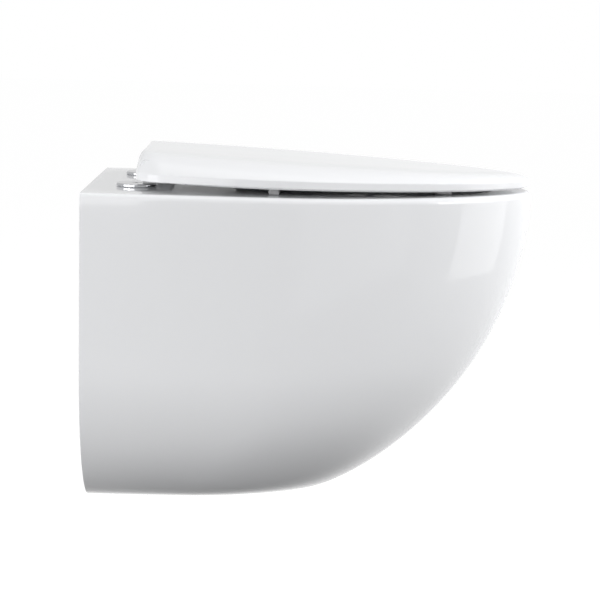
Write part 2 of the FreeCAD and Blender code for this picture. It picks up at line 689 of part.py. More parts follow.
def lid():
    """Moulded shell with two knuckles at its rear outer corners."""
    outside = lid_outside()
    inner_end = HINGE_SPACING / 2.0 + BLOCK_WIDTH / 2.0 + SIDE_PLAY
    relief = rod(KNUCKLE_RADIUS + HINGE_RELIEF, axis_point(-inner_end), axis_point(inner_end))
    shell = outside.cut(lid_room()).cut(relief)
    inside_wall = lid_shape(LID_WALL / 2.0, INNER_BAND_DROP / 2.0)
    for side in SIDES.values():
        shell = shell.cut(block_notch(side))
    for side in SIDES.values():
        barrel, bore = knuckle(side, 1.0, side < 0.0)
        _, near, direction = knuckle_span(side, 1.0)
        ends = sorted((near, near + direction * KNUCKLE_LENGTH))
        rib = box((ends[0], LID_REAR_DEPTH, DECK_Z + AXIS_RISE),
                  (ends[1], AXIS_DEPTH + KNUCKLE_RADIUS, DECK_Z + LID_TOP_REAR))
        shell = merged(shell, barrel, rib.common(inside_wall)).cut(bore)
    return shell


def block_notch(side):
    """Room in the lid's rear wall, under its top, for a hinge block that the lid turns past."""
    half = BLOCK_WIDTH / 2.0 + NOTCH_CLEARANCE
    x = side * HINGE_SPACING / 2.0
    return box((x - half, 0.0, DECK_Z), (x + half, AXIS_DEPTH, DECK_Z + LID_TOP_REAR - LID_WALL))


# ================================================================ seat
def seat_low():
    return shifted(lid_low(), -SEAT_BELOW_SKIRT)


def seat_top():
    return shifted(slanted(LID_GAP_REAR + SEAT_THICK_REAR, LID_GAP_FRONT + SEAT_THICK_FRONT),
                   -SEAT_BELOW_SKIRT)


def seat_slab():
    """Solid seat without its opening: round lower edge, upright edge, crowned top."""
    low, top = seat_low(), seat_top()
    edge_top = between(low, top, SEAT_EDGE_SHARE)
    lower = []
    for turn in steps(ROUND_STEPS):
        lower.append(closed_wire(seat_outline(SEAT_LOW_ROUND * (1.0 - math.sin(turn))),
                                 shifted(low, SEAT_LOW_ROUND * (1.0 - math.cos(turn)))))
    middle = [closed_wire(seat_outline(0.0), shifted(low, SEAT_LOW_ROUND)),
              closed_wire(seat_outline(0.0), edge_top)]
    crown = crown_wires(lambda closing: seat_outline(closing * SEAT_CROWN_RUN), edge_top, top,
                        SEAT_CROWN_POWER)
    return merged(loft(middle, ruled=True), loft(lower), loft(crown))


def mouth_edges(shape, low, high, height):
    """Edges inside an (x, depth) window that lie on a height function."""
    found = []
    for candidate in shape.Edges:
        ends = candidate.valueAt(candidate.FirstParameter), candidate.valueAt(candidate.LastParameter)
        on_face = all(abs(p.z - height(-p.y)) < CLOSE for p in ends)
        frame = candidate.BoundBox
        inside = (frame.XMin > low[0] and frame.XMax < high[0]
                  and -frame.YMax > low[1] and -frame.YMin < high[1])
        if on_face and inside:
            found.append(candidate)
    return found


def seat_ring():
    """Moulded ring with two hinge arms at its rear."""
    ring = seat_slab()
    outline = hole_outline()
    hole = loft([closed_wire(outline, shifted(seat_low(), -SEAT_THICK_REAR)),
                 closed_wire(outline, shifted(seat_top(), SEAT_THICK_REAR))], ruled=True)
    ring = ring.cut(hole)
    tip_depth, half_width = hole_ends()
    window = ((-half_width - WINDOW_MARGIN, SEAT_HOLE_REAR - WINDOW_MARGIN),
              (half_width + WINDOW_MARGIN, tip_depth + WINDOW_MARGIN))
    ring = ring.makeFillet(SEAT_HOLE_ROUND, mouth_edges(ring, *window, seat_top()))
    ring = ring.makeFillet(SEAT_LOW_ROUND, mouth_edges(ring, *window, seat_low()))
    for side in SIDES.values():
        barrel, bore = knuckle(side, -1.0, side > 0.0)
        _, near, direction = knuckle_span(side, -1.0)
        ends = sorted((near, near + direction * KNUCKLE_LENGTH))
        low = DECK_Z + ARM_LOW_RISE
        arm = box((ends[0], AXIS_DEPTH, low), (ends[1], ARM_FRONT_DEPTH, low + ARM_THICKNESS))
        ring = merged(ring, barrel, arm).cut(bore)
    return ring


# ================================================================ soft feet
def rim_centre(depth):
    """x of the middle of the seat at a depth, read off the outlines of bowl and seat hole."""
    outer = half_width_at(front_curve(BOWL_WIDTH / 2.0, WIDE_DEPTH, BOWL_LENGTH), depth)
    inner = half_width_at(hole_outline()[1], depth)
    return (outer - LID_SIDE_INSET + inner) / 2.0


def half_width_at(poles, depth):
    """x where a quarter outline crosses a depth."""
    curve = Part.BezierCurve()
    curve.setPoles([FreeCAD.Vector(x, d, 0.0) for x, d in poles])
    line = Part.makeLine(FreeCAD.Vector(0.0, depth, 0.0), FreeCAD.Vector(BOWL_WIDTH, depth, 0.0))
    _, pairs, _ = curve.toShape().distToShape(line)
    return pairs[0][0].x


def seat_bumper(side, depth, length):
    """Rounded foot between the seat and the rim."""
    x = side * rim_centre(depth)
    low = DECK_Z + REST_GAP
    foot = box((x - SEAT_BUMPER_WIDTH / 2.0, depth - length / 2.0, low),
               (x + SEAT_BUMPER_WIDTH / 2.0, depth + length / 2.0, DECK_Z + LID_TOP_REAR))
    bottom = [e for e in foot.Edges if e.BoundBox.ZMax < low + CLOSE]
    return foot.makeFillet(SEAT_BUMPER_ROUND, bottom).cut(above(seat_low()))


def above(height):
    """Everything over a slanted height, as wide as the bowl."""
    ends = (0.0, BOWL_LENGTH)
    corners = [at(-BOWL_WIDTH, d, height(d)) for d in ends]
    corners += [at(-BOWL_WIDTH, d, DECK_Z + BOWL_HEIGHT) for d in reversed(ends)]
    face = Part.Face(Part.makePolygon(corners + corners[:1]))
    return face.extrude(FreeCAD.Vector(2.0 * BOWL_WIDTH, 0.0, 0.0))


def seat_bumpers():
    """Four feet under the seat."""
    front_depth = BOWL_LENGTH - FRONT_BUMPER_SETBACK
    feet = []
    for side in SIDES.values():
        feet.append(seat_bumper(side, REAR_BUMPER_DEPTH, REAR_BUMPER_LENGTH))
        feet.append(seat_bumper(side, front_depth, FRONT_BUMPER_LENGTH))
    return Part.makeCompound(feet)


def lid_bumper(side, depth):
    """Round pad between the lid's inside and the seat."""
    x = side * rim_centre(depth)
    pad = rod(LID_BUMPER_RADIUS, at(x, depth, DECK_Z), at(x, depth, DECK_Z + LID_TOP_REAR))
    return pad.common(above(shifted(seat_top(), REST_GAP))).common(lid_room())


def lid_bumpers():
    """Four pads inside the lid."""
    front_depth = BOWL_LENGTH - FRONT_BUMPER_SETBACK
    pads = [lid_bumper(side, depth) for depth in (REAR_BUMPER_DEPTH, front_depth)
            for side in SIDES.values()]
    return Part.makeCompound(pads)


# ================================================================ nodes
def nodes():
    """Every separate piece by name."""
    pieces = {"bowl": bowl(), "inlet_seal": inlet_seal(), "lid": lid(), "seat_ring": seat_ring(),
              "seat_bumpers": seat_bumpers(), "lid_bumpers": lid_bumpers()}
    paired = {"fixing_anchor": fixing_anchor, "clamp_screw": clamp_screw, "hinge_bolt": hinge_bolt,
              "expansion_plug": expansion_plug, "expansion_nut": expansion_nut,
              "hinge_disc": hinge_disc, "hinge_block": hinge_block}
    for name, make in paired.items():
        for word, side in SIDES.items():
            pieces[name + "_" + word] = make(side)
    pieces["seat_damper_body"] = damper_body(SIDES["right"], -1.0)
    pieces["seat_damper_spindle"] = pivot(SIDES["right"], -1.0)
    pieces["seat_pivot_pin"] = pivot(SIDES["left"], -1.0)
    pieces["lid_damper_body"] = damper_body(SIDES["left"], 1.0)
    pieces["lid_damper_spindle"] = pivot(SIDES["left"], 1.0)
    pieces["lid_pivot_pin"] = pivot(SIDES["right"], 1.0)
    return pieces


os.makedirs("parts", exist_ok=True)
for node, shape in nodes().items():
    litres = round(shape.Volume / 1e6, 5)
    print(node, "valid", shape.isValid(), "solids", len(shape.Solids), "litres", litres)
    shape.exportStep("parts/" + node + ".step")
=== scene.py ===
# %% [markdown]
# # Wall hung toilet
# The real object is a hollow casting of vitreous china that hangs on a wall. A flat deck carries two
# hinges, a moulded seat and a wedge-shaped lid that wraps over the seat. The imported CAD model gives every
# place and size. This file dresses it: smooth glazed surfaces for the big pieces, soft edges on the small
# ones, and a finish for each material.

# %% The frame
import json
import math

import bmesh
import bpy
from mathutils import Matrix, Vector

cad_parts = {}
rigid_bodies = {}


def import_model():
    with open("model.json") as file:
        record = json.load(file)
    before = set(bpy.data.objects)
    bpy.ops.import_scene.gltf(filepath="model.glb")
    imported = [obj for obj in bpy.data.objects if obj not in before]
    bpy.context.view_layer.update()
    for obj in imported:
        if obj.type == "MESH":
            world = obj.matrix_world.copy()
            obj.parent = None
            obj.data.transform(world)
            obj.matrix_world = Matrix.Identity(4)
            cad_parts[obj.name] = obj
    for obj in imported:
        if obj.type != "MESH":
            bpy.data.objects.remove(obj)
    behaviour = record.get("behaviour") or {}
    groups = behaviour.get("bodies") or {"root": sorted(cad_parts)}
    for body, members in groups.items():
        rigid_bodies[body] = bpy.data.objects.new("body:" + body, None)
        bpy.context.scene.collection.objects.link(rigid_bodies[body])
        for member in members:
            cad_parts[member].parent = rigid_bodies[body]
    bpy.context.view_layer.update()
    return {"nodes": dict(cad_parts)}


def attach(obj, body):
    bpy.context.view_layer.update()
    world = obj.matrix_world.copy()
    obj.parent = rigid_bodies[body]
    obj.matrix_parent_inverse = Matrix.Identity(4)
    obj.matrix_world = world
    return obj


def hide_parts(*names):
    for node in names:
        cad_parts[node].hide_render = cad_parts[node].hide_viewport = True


for leftover in list(bpy.data.objects):
    bpy.data.objects.remove(leftover)
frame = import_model()
MM = 0.001
SIDES = {"left": -1.0, "right": 1.0}

# %% [markdown]
# Heights and depths are in millimetres, as a drawing of the casting would have them. Depth is the distance
# from the wall (row -Y), x runs across, z is up from the wall studs. Bezier curves draw the outlines,
# because a few poles give one clean sweep with no flat spots, which a glossy glaze would show at once.

# %% Sizes of the casting
BOWL_LENGTH, BOWL_WIDTH, REAR_WIDTH, BOWL_HEIGHT = 520.0, 350.0, 330.0, 371.0
DECK_Z, WIDE_DEPTH, PAST_WALL = 90.0, 215.0, 20.0
KEEL_FLOOR_DEPTH, KEEL_FLOOR_HANDLE, KEEL_TIP_HANDLE = 263.0, 36.0, 248.0
SIDE_DROP, FLOOR_HALF_WIDTH = 195.0, 36.0
SIDE_PULL, TIP_PULL, SIDE_SWELL = 0.46, 0.44, 0.6
RIM_EDGE_RADIUS, BASIN_EDGE_RADIUS = 7.0, 5.0
SKIN_WALL, DECK_THICKNESS, BASIN_WALL, WEB_THICKNESS = 11.0, 14.0, 10.0, 14.0
RIM_BREADTH, RIM_TIP_BREADTH, BASIN_REAR_DEPTH = 47.0, 46.0, 152.0
SUMP_AHEAD, SUMP_BELOW, SUMP_LENGTH, SUMP_HALF_WIDTH = 8.0, 9.0, 56.0, 34.0
# share of the way down, and how far the outline has closed in at rear, tip and side
BASIN_SECTIONS = ((0.0, 0.0, 0.0, 0.0), (0.12, 0.0, 0.02, 0.02), (0.35, 0.12, 0.2, 0.16),
                  (0.58, 0.42, 0.5, 0.42), (0.8, 0.9, 0.77, 0.74), (1.0, 1.0, 1.0, 1.0))
OVAL_WIDE_SHARE, OVAL_REAR_PULL, OVAL_SIDE_PULL = 0.42, 0.62, 0.6
OUTLET_Z, SPIGOT_RADIUS, TRAP_RADIUS, DRAIN_ROOM = -100.0, 51.0, 40.0, 68.0
INLET_Z, INLET_RADIUS, INLET_DEPTH, INLET_WALL, DUCT_RADIUS = 35.0, 27.5, 34.0, 9.0, 21.0
FIXING_SPACING, SOCKET_RADIUS, SOCKET_WALL, SOCKET_DEPTH = 180.0, 17.5, 9.0, 82.0
HINGE_SPACING, HINGE_HOLE_DEPTH, HINGE_HOLE_RADIUS, CLAMP_WAY_RADIUS = 150.0, 55.0, 7.5, 8.0
TRAP_OUT_RUN, TRAP_DOWN_RUN, TRAP_SUMP_RUN = 30.0, 85.0, 15.0
TRAP_BENDS = ((58.0, 60), (56.0, -120), (60.0, 90))  # radius and turn in degrees, from the outlet

# %% Drawing helpers
REAR_STEPS, SIDE_STEPS, FRONT_STEPS = 12, 24, 44     # straight pieces in each stretch of a half outline
SMALL_ROUND_ROWS, WIDE_ROUND_ROWS = 3, 6             # steps round a small and a wide edge


def at(x, depth, z):
    """Point in metres from its place across, its distance from the wall and its height."""
    return Vector((x, -depth, z)) * MM


def on_curve(poles, share):
    """Point of a straight or cubic Bezier curve."""
    points = [Vector(pole) for pole in poles]
    while len(points) > 1:
        points = [a.lerp(b, share) for a, b in zip(points, points[1:])]
    return points[0]


def drawn(poles, steps, start=0.0):
    """Points along a curve, without its last one."""
    return [on_curve(poles, start + (1.0 - start) * i / steps) for i in range(steps)]


def front_curve(half_width, wide_depth, tip_depth):
    """Quarter of the egg shape, from the widest place to the front tip."""
    run_on = wide_depth + SIDE_PULL * (tip_depth - wide_depth)
    return [(half_width, wide_depth), (half_width, run_on), (TIP_PULL * half_width, tip_depth),
            (0.0, tip_depth)]


def side_curve(rear_half, rear_depth, half_width, wide_depth):
    """Slightly swelling side, from its rear end to the widest place."""
    third = (wide_depth - rear_depth) / 3.0
    swollen = rear_half + SIDE_SWELL * (half_width - rear_half)
    return [(rear_half, rear_depth), (swollen, rear_depth + third), (half_width, wide_depth - third),
            (half_width, wide_depth)]


def moved_in(outline, inset):
    """Half outline, rear centre to front centre, moved in along its own normals."""
    moved = []
    for i, point in enumerate(outline):
        ahead, behind = outline[min(i + 1, len(outline) - 1)], outline[max(i - 1, 0)]
        along = (ahead - behind).normalized()
        moved.append(point + Vector((-along.y, along.x)) * inset)
    moved[0].x = moved[-1].x = 0.0
    return moved


def ring(outline, height):
    """Closed row of points from a half outline and its mirror image, at a height or a height rule."""
    rule = height if callable(height) else lambda depth: height
    right = [at(p.x, p.y, rule(p.y)) for p in outline]
    left = [at(-p.x, p.y, rule(p.y)) for p in outline[-2:0:-1]]
    return right + left


def new_piece(name, bm):
    """Object at the origin from a bmesh."""
    mesh = bpy.data.meshes.new(name)
    bm.to_mesh(mesh)
    bm.free()
    piece = bpy.data.objects.new(name, mesh)
    bpy.context.scene.collection.objects.link(piece)
    return piece


def lofted(name, rows, endless=False):
    """Closed surface of quads through rows of equal length. Its ends are capped, or joined if endless."""
    bm = bmesh.new()
    loops = [[bm.verts.new(point) for point in row] for row in rows]
    pairs = list(zip(loops, loops[1:])) + ([(loops[-1], loops[0])] if endless else [])
    count = len(rows[0])
    for low, high in pairs:
        for i in range(count):
            j = (i + 1) % count
            bm.faces.new((low[i], low[j], high[j], high[i]))
    if not endless:
        bm.faces.new(loops[0][::-1])
        bm.faces.new(loops[-1])
    bmesh.ops.recalc_face_normals(bm, faces=bm.faces)
    return new_piece(name, bm)


def turns(count):
    """Angles of a quarter turn in equal steps."""
    return [math.radians(90.0 * i / count) for i in range(count + 1)]


# %% [markdown]
# Each finish is named for the real material and how its surface was made. Colours are written as sRGB hex
# and turned to linear by one function. Patterns are sized from real millimetres on Object coordinates.

# %% Finishes


def add(tree, kind, links=None, **settings):
    """Adds a node with its settings, and sets or links its inputs."""
    made = tree.nodes.new(kind)
    for name, value in settings.items():
        setattr(made, name, value)
    for name, value in (links or {}).items():
        if isinstance(value, bpy.types.NodeSocket):
            tree.links.new(value, made.inputs[name])
        else:
            made.inputs[name].default_value = value
    return made


def linear(code):
    """sRGB hex to linear RGBA."""
    values = [int(code[i:i + 2], 16) / 255.0 for i in (1, 3, 5)]
    return tuple(v / 12.92 if v <= 0.04045 else ((v + 0.055) / 1.055) ** 2.4 for v in values) + (1.0,)


def per_mm(size):
    """Texture scale, in cells per metre, for a pattern of that many millimetres."""
    return 1000.0 / size


def surface(name, light, dark, roughness, patch_mm, grain_mm, grain_depth_mm, stretch=(1, 1, 1), **shader):
    """Principled surface with a faint colour drift, an uneven polish and a fine relief."""
    made = bpy.data.materials.new(name)
    made.use_nodes = True
    tree = made.node_tree
    tree.nodes.clear()
    coordinates = add(tree, "ShaderNodeTexCoord")
    mapped = add(tree, "ShaderNodeMapping", {"Vector": coordinates.outputs["Object"], "Scale": stretch})
    patches = add(tree, "ShaderNodeTexNoise", {"Vector": mapped.outputs["Vector"],
                                               "Scale": per_mm(patch_mm), "Detail": 2.0})
    tint = add(tree, "ShaderNodeMix", {"Factor": patches.outputs["Fac"]}, data_type="RGBA")
    tint.inputs[6].default_value, tint.inputs[7].default_value = linear(dark), linear(light)
    polish = add(tree, "ShaderNodeMapRange", {"Value": patches.outputs["Fac"], "To Min": roughness[0],
                                              "To Max": roughness[1]})
    grain = add(tree, "ShaderNodeTexNoise", {"Vector": mapped.outputs["Vector"],
                                             "Scale": per_mm(grain_mm), "Detail": 3.0})
    relief = add(tree, "ShaderNodeBump", {"Height": grain.outputs["Fac"],
                                          "Distance": grain_depth_mm * MM, "Strength": 1.0})
    principled = add(tree, "ShaderNodeBsdfPrincipled", {
        "Base Color": tint.outputs[2], "Roughness": polish.outputs["Result"],
        "Normal": relief.outputs["Normal"], **shader})
    add(tree, "ShaderNodeOutputMaterial", {"Surface": principled.outputs["BSDF"]})
    return made


glazed_china = surface("glazed vitreous china", "#F3F4F6", "#F0F1F3", (0.04, 0.07), 120.0, 14.0, 0.006,
                       IOR=1.52)
raw_china = surface("unglazed vitreous china", "#E9E5DD", "#DFDACF", (0.55, 0.7), 25.0, 1.2, 0.05)
duroplast = surface("moulded white duroplast", "#F2F3F5", "#F0F1F3", (0.10, 0.13), 90.0, 9.0, 0.004,
                    IOR=1.5)
polished_chrome = surface("chrome-plated brass", "#C6C7C9", "#BEBFC2", (0.03, 0.06), 8.0, 1.5, 0.001,
                          Metallic=1.0)
soft_grey = surface("light grey TPE", "#BFBFC0", "#B7B7B8", (0.5, 0.6), 6.0, 0.5, 0.01)
black_rubber = surface("black EPDM rubber", "#242526", "#1D1E1F", (0.55, 0.7), 6.0, 0.6, 0.02)
hinge_plastic = surface("moulded POM", "#DCDCDC", "#D5D5D6", (0.28, 0.36), 10.0, 0.8, 0.008)
damper_plastic = surface("grey glass-filled nylon", "#7C7E82", "#717377", (0.4, 0.5), 6.0, 0.6, 0.015)
nylon = surface("natural nylon", "#DDD9CB", "#D5D0C0", (0.35, 0.45), 12.0, 0.9, 0.01,
                **{"Subsurface Weight": 0.1})
stainless = surface("turned stainless steel", "#B9BABD", "#AEAFB3", (0.22, 0.32), 3.0, 0.3, 0.004,
                    Metallic=1.0)
brass = surface("turned brass", "#C9A24F", "#BE9645", (0.22, 0.32), 3.0, 0.3, 0.004, Metallic=1.0)

# %% [markdown]
# The casting's outside, deck and basin are one closed surface, so the glaze runs over the deck's edges
# without a seam. Rows of points go from the flat underside up the keel, round the deck's edge, across the
# deck, round the mouth and down the basin. Everything inside the skin is cut out of it afterwards with exact
# booleans, the way the plaster core and the drills leave it on the real casting.

# %% Skin, deck and basin
SKIN_ROWS, EDGE_ROWS, BASIN_ROWS = 60, 6, 30
BEND_STEP = 5                                        # degrees of a trap bend in one straight piece
WALL_FACE_DEPTH = 0.1                                # faces this near the wall are the ground rear face


def half_outline(rear_half, rear_depth, half_width, wide_depth, tip_depth, start=0.0):
    """Half of the D shape: straight rear, swelling side, rounded front."""
    side = side_curve(rear_half, rear_depth, half_width, wide_depth)
    first = on_curve(side, start)
    return (drawn([(0.0, first.y), tuple(first)], REAR_STEPS) + drawn(side, SIDE_STEPS, start)
            + drawn(front_curve(half_width, wide_depth, tip_depth), FRONT_STEPS)
            + [Vector((0.0, tip_depth))])


def skin_outline(half_width, tip_depth, rear_depth=0.0):
    """The bowl's outline at one height. The side curve starts past the wall and is cut at rear_depth."""
    wide_depth = WIDE_DEPTH * tip_depth / BOWL_LENGTH
    rear_half = half_width * REAR_WIDTH / BOWL_WIDTH
    start = (rear_depth + PAST_WALL) / (wide_depth + PAST_WALL)
    return half_outline(rear_half, -PAST_WALL, half_width, wide_depth, tip_depth, start)


def skin_rows(inset, rear_depth=0.0):
    """Rows up the keel, from the floor (share 0) to the deck (share 1)."""
    rows = []
    floor, tip = BOWL_HEIGHT - inset, BOWL_LENGTH - inset
    keel = [(KEEL_FLOOR_DEPTH, floor), (KEEL_FLOOR_DEPTH + KEEL_FLOOR_HANDLE, floor),
            (tip, KEEL_TIP_HANDLE), (tip, 0.0)]
    for i in range(SKIN_ROWS + 1):
        depth, drop = on_curve(keel, i / SKIN_ROWS)
        full, flat = BOWL_WIDTH / 2.0 - inset, FLOOR_HALF_WIDTH - inset / 2.0
        share = max(0.0, drop - SIDE_DROP) / (floor - SIDE_DROP)
        half_width = flat + (full - flat) * math.sqrt(max(0.0, 1.0 - share * share))
        rows.append(ring(skin_outline(half_width, depth, rear_depth), DECK_Z - drop))
    return rows


def flush_with_wall(outline):
    """Rounding may not pull the rear edge off the wall plane."""
    return [Vector((p.x, max(0.0, p.y) if i > REAR_STEPS else 0.0)) for i, p in enumerate(outline)]


def oval(rear_depth, tip_depth, half_width, rear_steps=REAR_STEPS + SIDE_STEPS):
    """Half of the basin's or the seat opening's oval."""
    wide_depth = rear_depth + OVAL_WIDE_SHARE * (tip_depth - rear_depth)
    side_depth = wide_depth - OVAL_SIDE_PULL * (wide_depth - rear_depth)
    rear = [(0.0, rear_depth), (OVAL_REAR_PULL * half_width, rear_depth), (half_width, side_depth),
            (half_width, wide_depth)]
    return (drawn(rear, rear_steps) + drawn(front_curve(half_width, wide_depth, tip_depth), FRONT_STEPS)
            + [Vector((0.0, tip_depth))])


def trap_route():
    """Runs and bends of the trapway in the middle plane, from the outlet to the sump."""
    place, heading = Vector((-PAST_WALL, OUTLET_Z)), 0.0
    points = [place.copy()]
    for size, turn in ((PAST_WALL + TRAP_OUT_RUN, 0), TRAP_BENDS[0], TRAP_BENDS[1], (TRAP_DOWN_RUN, 0),
                       TRAP_BENDS[2], (TRAP_SUMP_RUN, 0)):
        steps = abs(turn) // BEND_STEP or 1
        for _ in range(steps):
            chord = 2.0 * size * math.sin(math.radians(abs(turn) / steps / 2.0)) if turn else size
            heading += turn / steps / 2.0
            place = place + chord * Vector((math.cos(math.radians(heading)),
                                            math.sin(math.radians(heading))))
            heading += turn / steps / 2.0
            points.append(place.copy())
    return points


TRAP_ROUTE = trap_route()


def smooth_share(share, column):
    """A closing-in share read off the table of basin sections by a Hermite curve."""
    table = BASIN_SECTIONS
    slopes = []
    for i in range(len(table)):
        a, b = table[max(i - 1, 0)], table[min(i + 1, len(table) - 1)]
        slopes.append((b[column] - a[column]) / (b[0] - a[0]))
    for i, (a, b) in enumerate(zip(table, table[1:])):
        if share <= b[0]:
            width = b[0] - a[0]
            t = (share - a[0]) / width
            rise = a[column] + (b[column] - a[column]) * (3.0 - 2.0 * t) * t * t
            return rise + width * (slopes[i] * t * (1.0 - t) ** 2 - slopes[i + 1] * t * t * (1.0 - t))
    return table[-1][column]


def basin_rows(grow, first=0.0):
    """Rows down the basin, from its mouth to the sump's floor."""
    mouth_tip, mouth_half = BOWL_LENGTH - RIM_TIP_BREADTH, BOWL_WIDTH / 2.0 - RIM_BREADTH
    end = TRAP_ROUTE[-1]
    sump_rear = end.x + SUMP_AHEAD - SUMP_LENGTH / 2.0
    fall_all = DECK_Z - end.y + SUMP_BELOW
    rows = []
    for i in range(BASIN_ROWS + 1):
        fall = first + (1.0 - first) * i / BASIN_ROWS
        rear, tip, side = (smooth_share(fall, column) for column in (1, 2, 3))
        outline = oval(BASIN_REAR_DEPTH + rear * (sump_rear - BASIN_REAR_DEPTH) - grow,
                       mouth_tip + tip * (sump_rear + SUMP_LENGTH - mouth_tip) + grow,
                       mouth_half + side * (SUMP_HALF_WIDTH - mouth_half) + grow)
        rows.append(ring(outline, DECK_Z - fall * fall_all - grow))
    return rows


def casting_rows():
    """All rows of the glazed outside, from the underside over the deck into the sump."""
    rows = [row for row in skin_rows(0.0) if row[0].z < (DECK_Z - RIM_EDGE_RADIUS) * MM]
    deck_outline = skin_outline(BOWL_WIDTH / 2.0, BOWL_LENGTH)
    for turn in turns(EDGE_ROWS):
        inset = RIM_EDGE_RADIUS * (1.0 - math.cos(turn))
        outline = flush_with_wall(moved_in(deck_outline, inset))
        rows.append(ring(outline, DECK_Z - RIM_EDGE_RADIUS * (1.0 - math.sin(turn))))
    mouth = oval(BASIN_REAR_DEPTH, BOWL_LENGTH - RIM_TIP_BREADTH, BOWL_WIDTH / 2.0 - RIM_BREADTH)
    for turn in turns(EDGE_ROWS):
        outline = moved_in(mouth, -BASIN_EDGE_RADIUS * (1.0 - math.sin(turn)))
        rows.append(ring(outline, DECK_Z - BASIN_EDGE_RADIUS * (1.0 - math.cos(turn))))
    below_round = [row for row in basin_rows(0.0) if row[0].z < (DECK_Z - BASIN_EDGE_RADIUS - 1.0) * MM]
    return rows + below_round


casting = lofted("bowl_china", casting_rows())
print("casting faces", len(casting.data.polygons))

# %% [markdown]
# The waterways are round bars along a path. A small Geometry Nodes tree sweeps a circle along the path's
# points, with radius and finish as named inputs, so one tree makes the trap, the duct, the sockets and the
# drilled holes. The results only cut and are thrown away, but what they cut takes their finish: glaze in the
# waterways, bare china in the hollow and the sockets.

# %% The sweep tree


def geometry_tree(name, inputs):
    """Empty geometry tree with named number inputs."""
    tree = bpy.data.node_groups.new(name, "GeometryNodeTree")
    tree.interface.new_socket("Geometry", in_out="INPUT", socket_type="NodeSocketGeometry")
    for label, kind in inputs.items():
        tree.interface.new_socket(label, in_out="INPUT", socket_type=kind)
    tree.interface.new_socket("Geometry", in_out="OUTPUT", socket_type="NodeSocketGeometry")
    return tree, add(tree, "NodeGroupInput")


def grown(name, places, edges, tree, values):
    """Plain mesh object from a tree run on a few points, with the modifier gone."""
    seed = bpy.data.meshes.new(name)
    seed.from_pydata(places, edges, [])
    host = bpy.data.objects.new(name, seed)
    bpy.context.scene.collection.objects.link(host)
    modifier = host.modifiers.new("tree", "NODES")
    modifier.node_group = tree
    for item in tree.interface.items_tree:
        if item.in_out == "INPUT" and item.name in values:
            modifier[item.identifier] = values[item.name]
    settled(host)
    return host


def settled(piece):
    """Turns a piece's live modifiers into its plain mesh."""
    graph = bpy.context.evaluated_depsgraph_get()
    mesh = bpy.data.meshes.new_from_object(piece.evaluated_get(graph))
    piece.modifiers.clear()
    piece.data = mesh
    mesh.name = piece.name


sweep_tree, sweep_in = geometry_tree("round bar along a path",
                                     {"Radius": "NodeSocketFloat", "Sides": "NodeSocketInt",
                                      "Finish": "NodeSocketMaterial"})
path = add(sweep_tree, "GeometryNodeMeshToCurve", {"Mesh": sweep_in.outputs["Geometry"]})
circle = add(sweep_tree, "GeometryNodeCurvePrimitiveCircle",
             {"Resolution": sweep_in.outputs["Sides"], "Radius": sweep_in.outputs["Radius"]})
swept = add(sweep_tree, "GeometryNodeCurveToMesh",
            {"Curve": path.outputs["Curve"], "Profile Curve": circle.outputs["Curve"], "Fill Caps": True})
real = add(sweep_tree, "GeometryNodeRealizeInstances", {"Geometry": swept.outputs["Mesh"]})
finished = add(sweep_tree, "GeometryNodeSetMaterial", {"Geometry": real.outputs["Geometry"],
                                                       "Material": sweep_in.outputs["Finish"]})
add(sweep_tree, "NodeGroupOutput", {"Geometry": finished.outputs["Geometry"]})


def bar(name, points, radius, sides=64, finish=raw_china):
    """Round or many-sided bar through points, in millimetre radius."""
    edges = [(i, i + 1) for i in range(len(points) - 1)]
    values = {"Radius": radius * MM, "Sides": sides, "Finish": finish}
    return grown(name, [tuple(p) for p in points], edges, sweep_tree, values)


def block(name, low, high):
    """Box between two (x, depth, z) corners, used to cut."""
    bm = bmesh.new()
    bmesh.ops.create_cube(bm, size=1.0)
    size = Vector(high) - Vector(low)
    middle = (Vector(high) + Vector(low)) / 2.0
    for vertex in bm.verts:
        vertex.co = at(middle.x + vertex.co.x * size.x, middle.y - vertex.co.y * size.y,
                       middle.z + vertex.co.z * size.z)
    return new_piece(name, bm)


def cut(piece, tools, operation="DIFFERENCE", keep_finish=False):
    """Exact boolean of a piece with several tools, which are used up and may leave their finish."""
    pool = bpy.data.collections.new("tools")
    bpy.context.scene.collection.children.link(pool)
    for tool in tools:
        bpy.context.scene.collection.objects.unlink(tool)
        pool.objects.link(tool)
    boolean = piece.modifiers.new("boolean", "BOOLEAN")
    boolean.operation = operation
    boolean.operand_type = "COLLECTION"
    boolean.collection = pool
    boolean.solver = "EXACT"
    boolean.material_mode = "TRANSFER" if keep_finish else "INDEX"
    settled(piece)
    for tool in tools:
        bpy.data.objects.remove(tool)
    bpy.data.collections.remove(pool)
    return piece


# %% Hollowing the casting


def hollow():
    """Room between skin and basin, round the waterways, sockets and the web against the wall."""
    room = lofted("room", skin_rows(SKIN_WALL, -PAST_WALL / 2.0))
    room.data.materials.append(raw_china)
    keep = [block("deck", (-BOWL_WIDTH, -BOWL_LENGTH, DECK_Z - DECK_THICKNESS),
                  (BOWL_WIDTH, 2.0 * BOWL_LENGTH, DECK_Z + BOWL_HEIGHT)),
            block("web", (-BOWL_WIDTH, -BOWL_LENGTH, OUTLET_Z + DRAIN_ROOM),
                  (BOWL_WIDTH, WEB_THICKNESS, DECK_Z)),
            lofted("basin_back", basin_rows(BASIN_WALL)),
            bar("trap_back", [at(0.0, p.x, p.y) for p in TRAP_ROUTE], SPIGOT_RADIUS),
            duct("duct_back", INLET_RADIUS + INLET_WALL, INLET_DEPTH + INLET_WALL),
            duct("duct_rear", DUCT_RADIUS + INLET_WALL, BASIN_REAR_DEPTH + BASIN_WALL)]
    for side in SIDES.values():
        keep.append(socket("socket_back", side, SOCKET_RADIUS + SOCKET_WALL, SOCKET_DEPTH))
    return cut(room, keep)


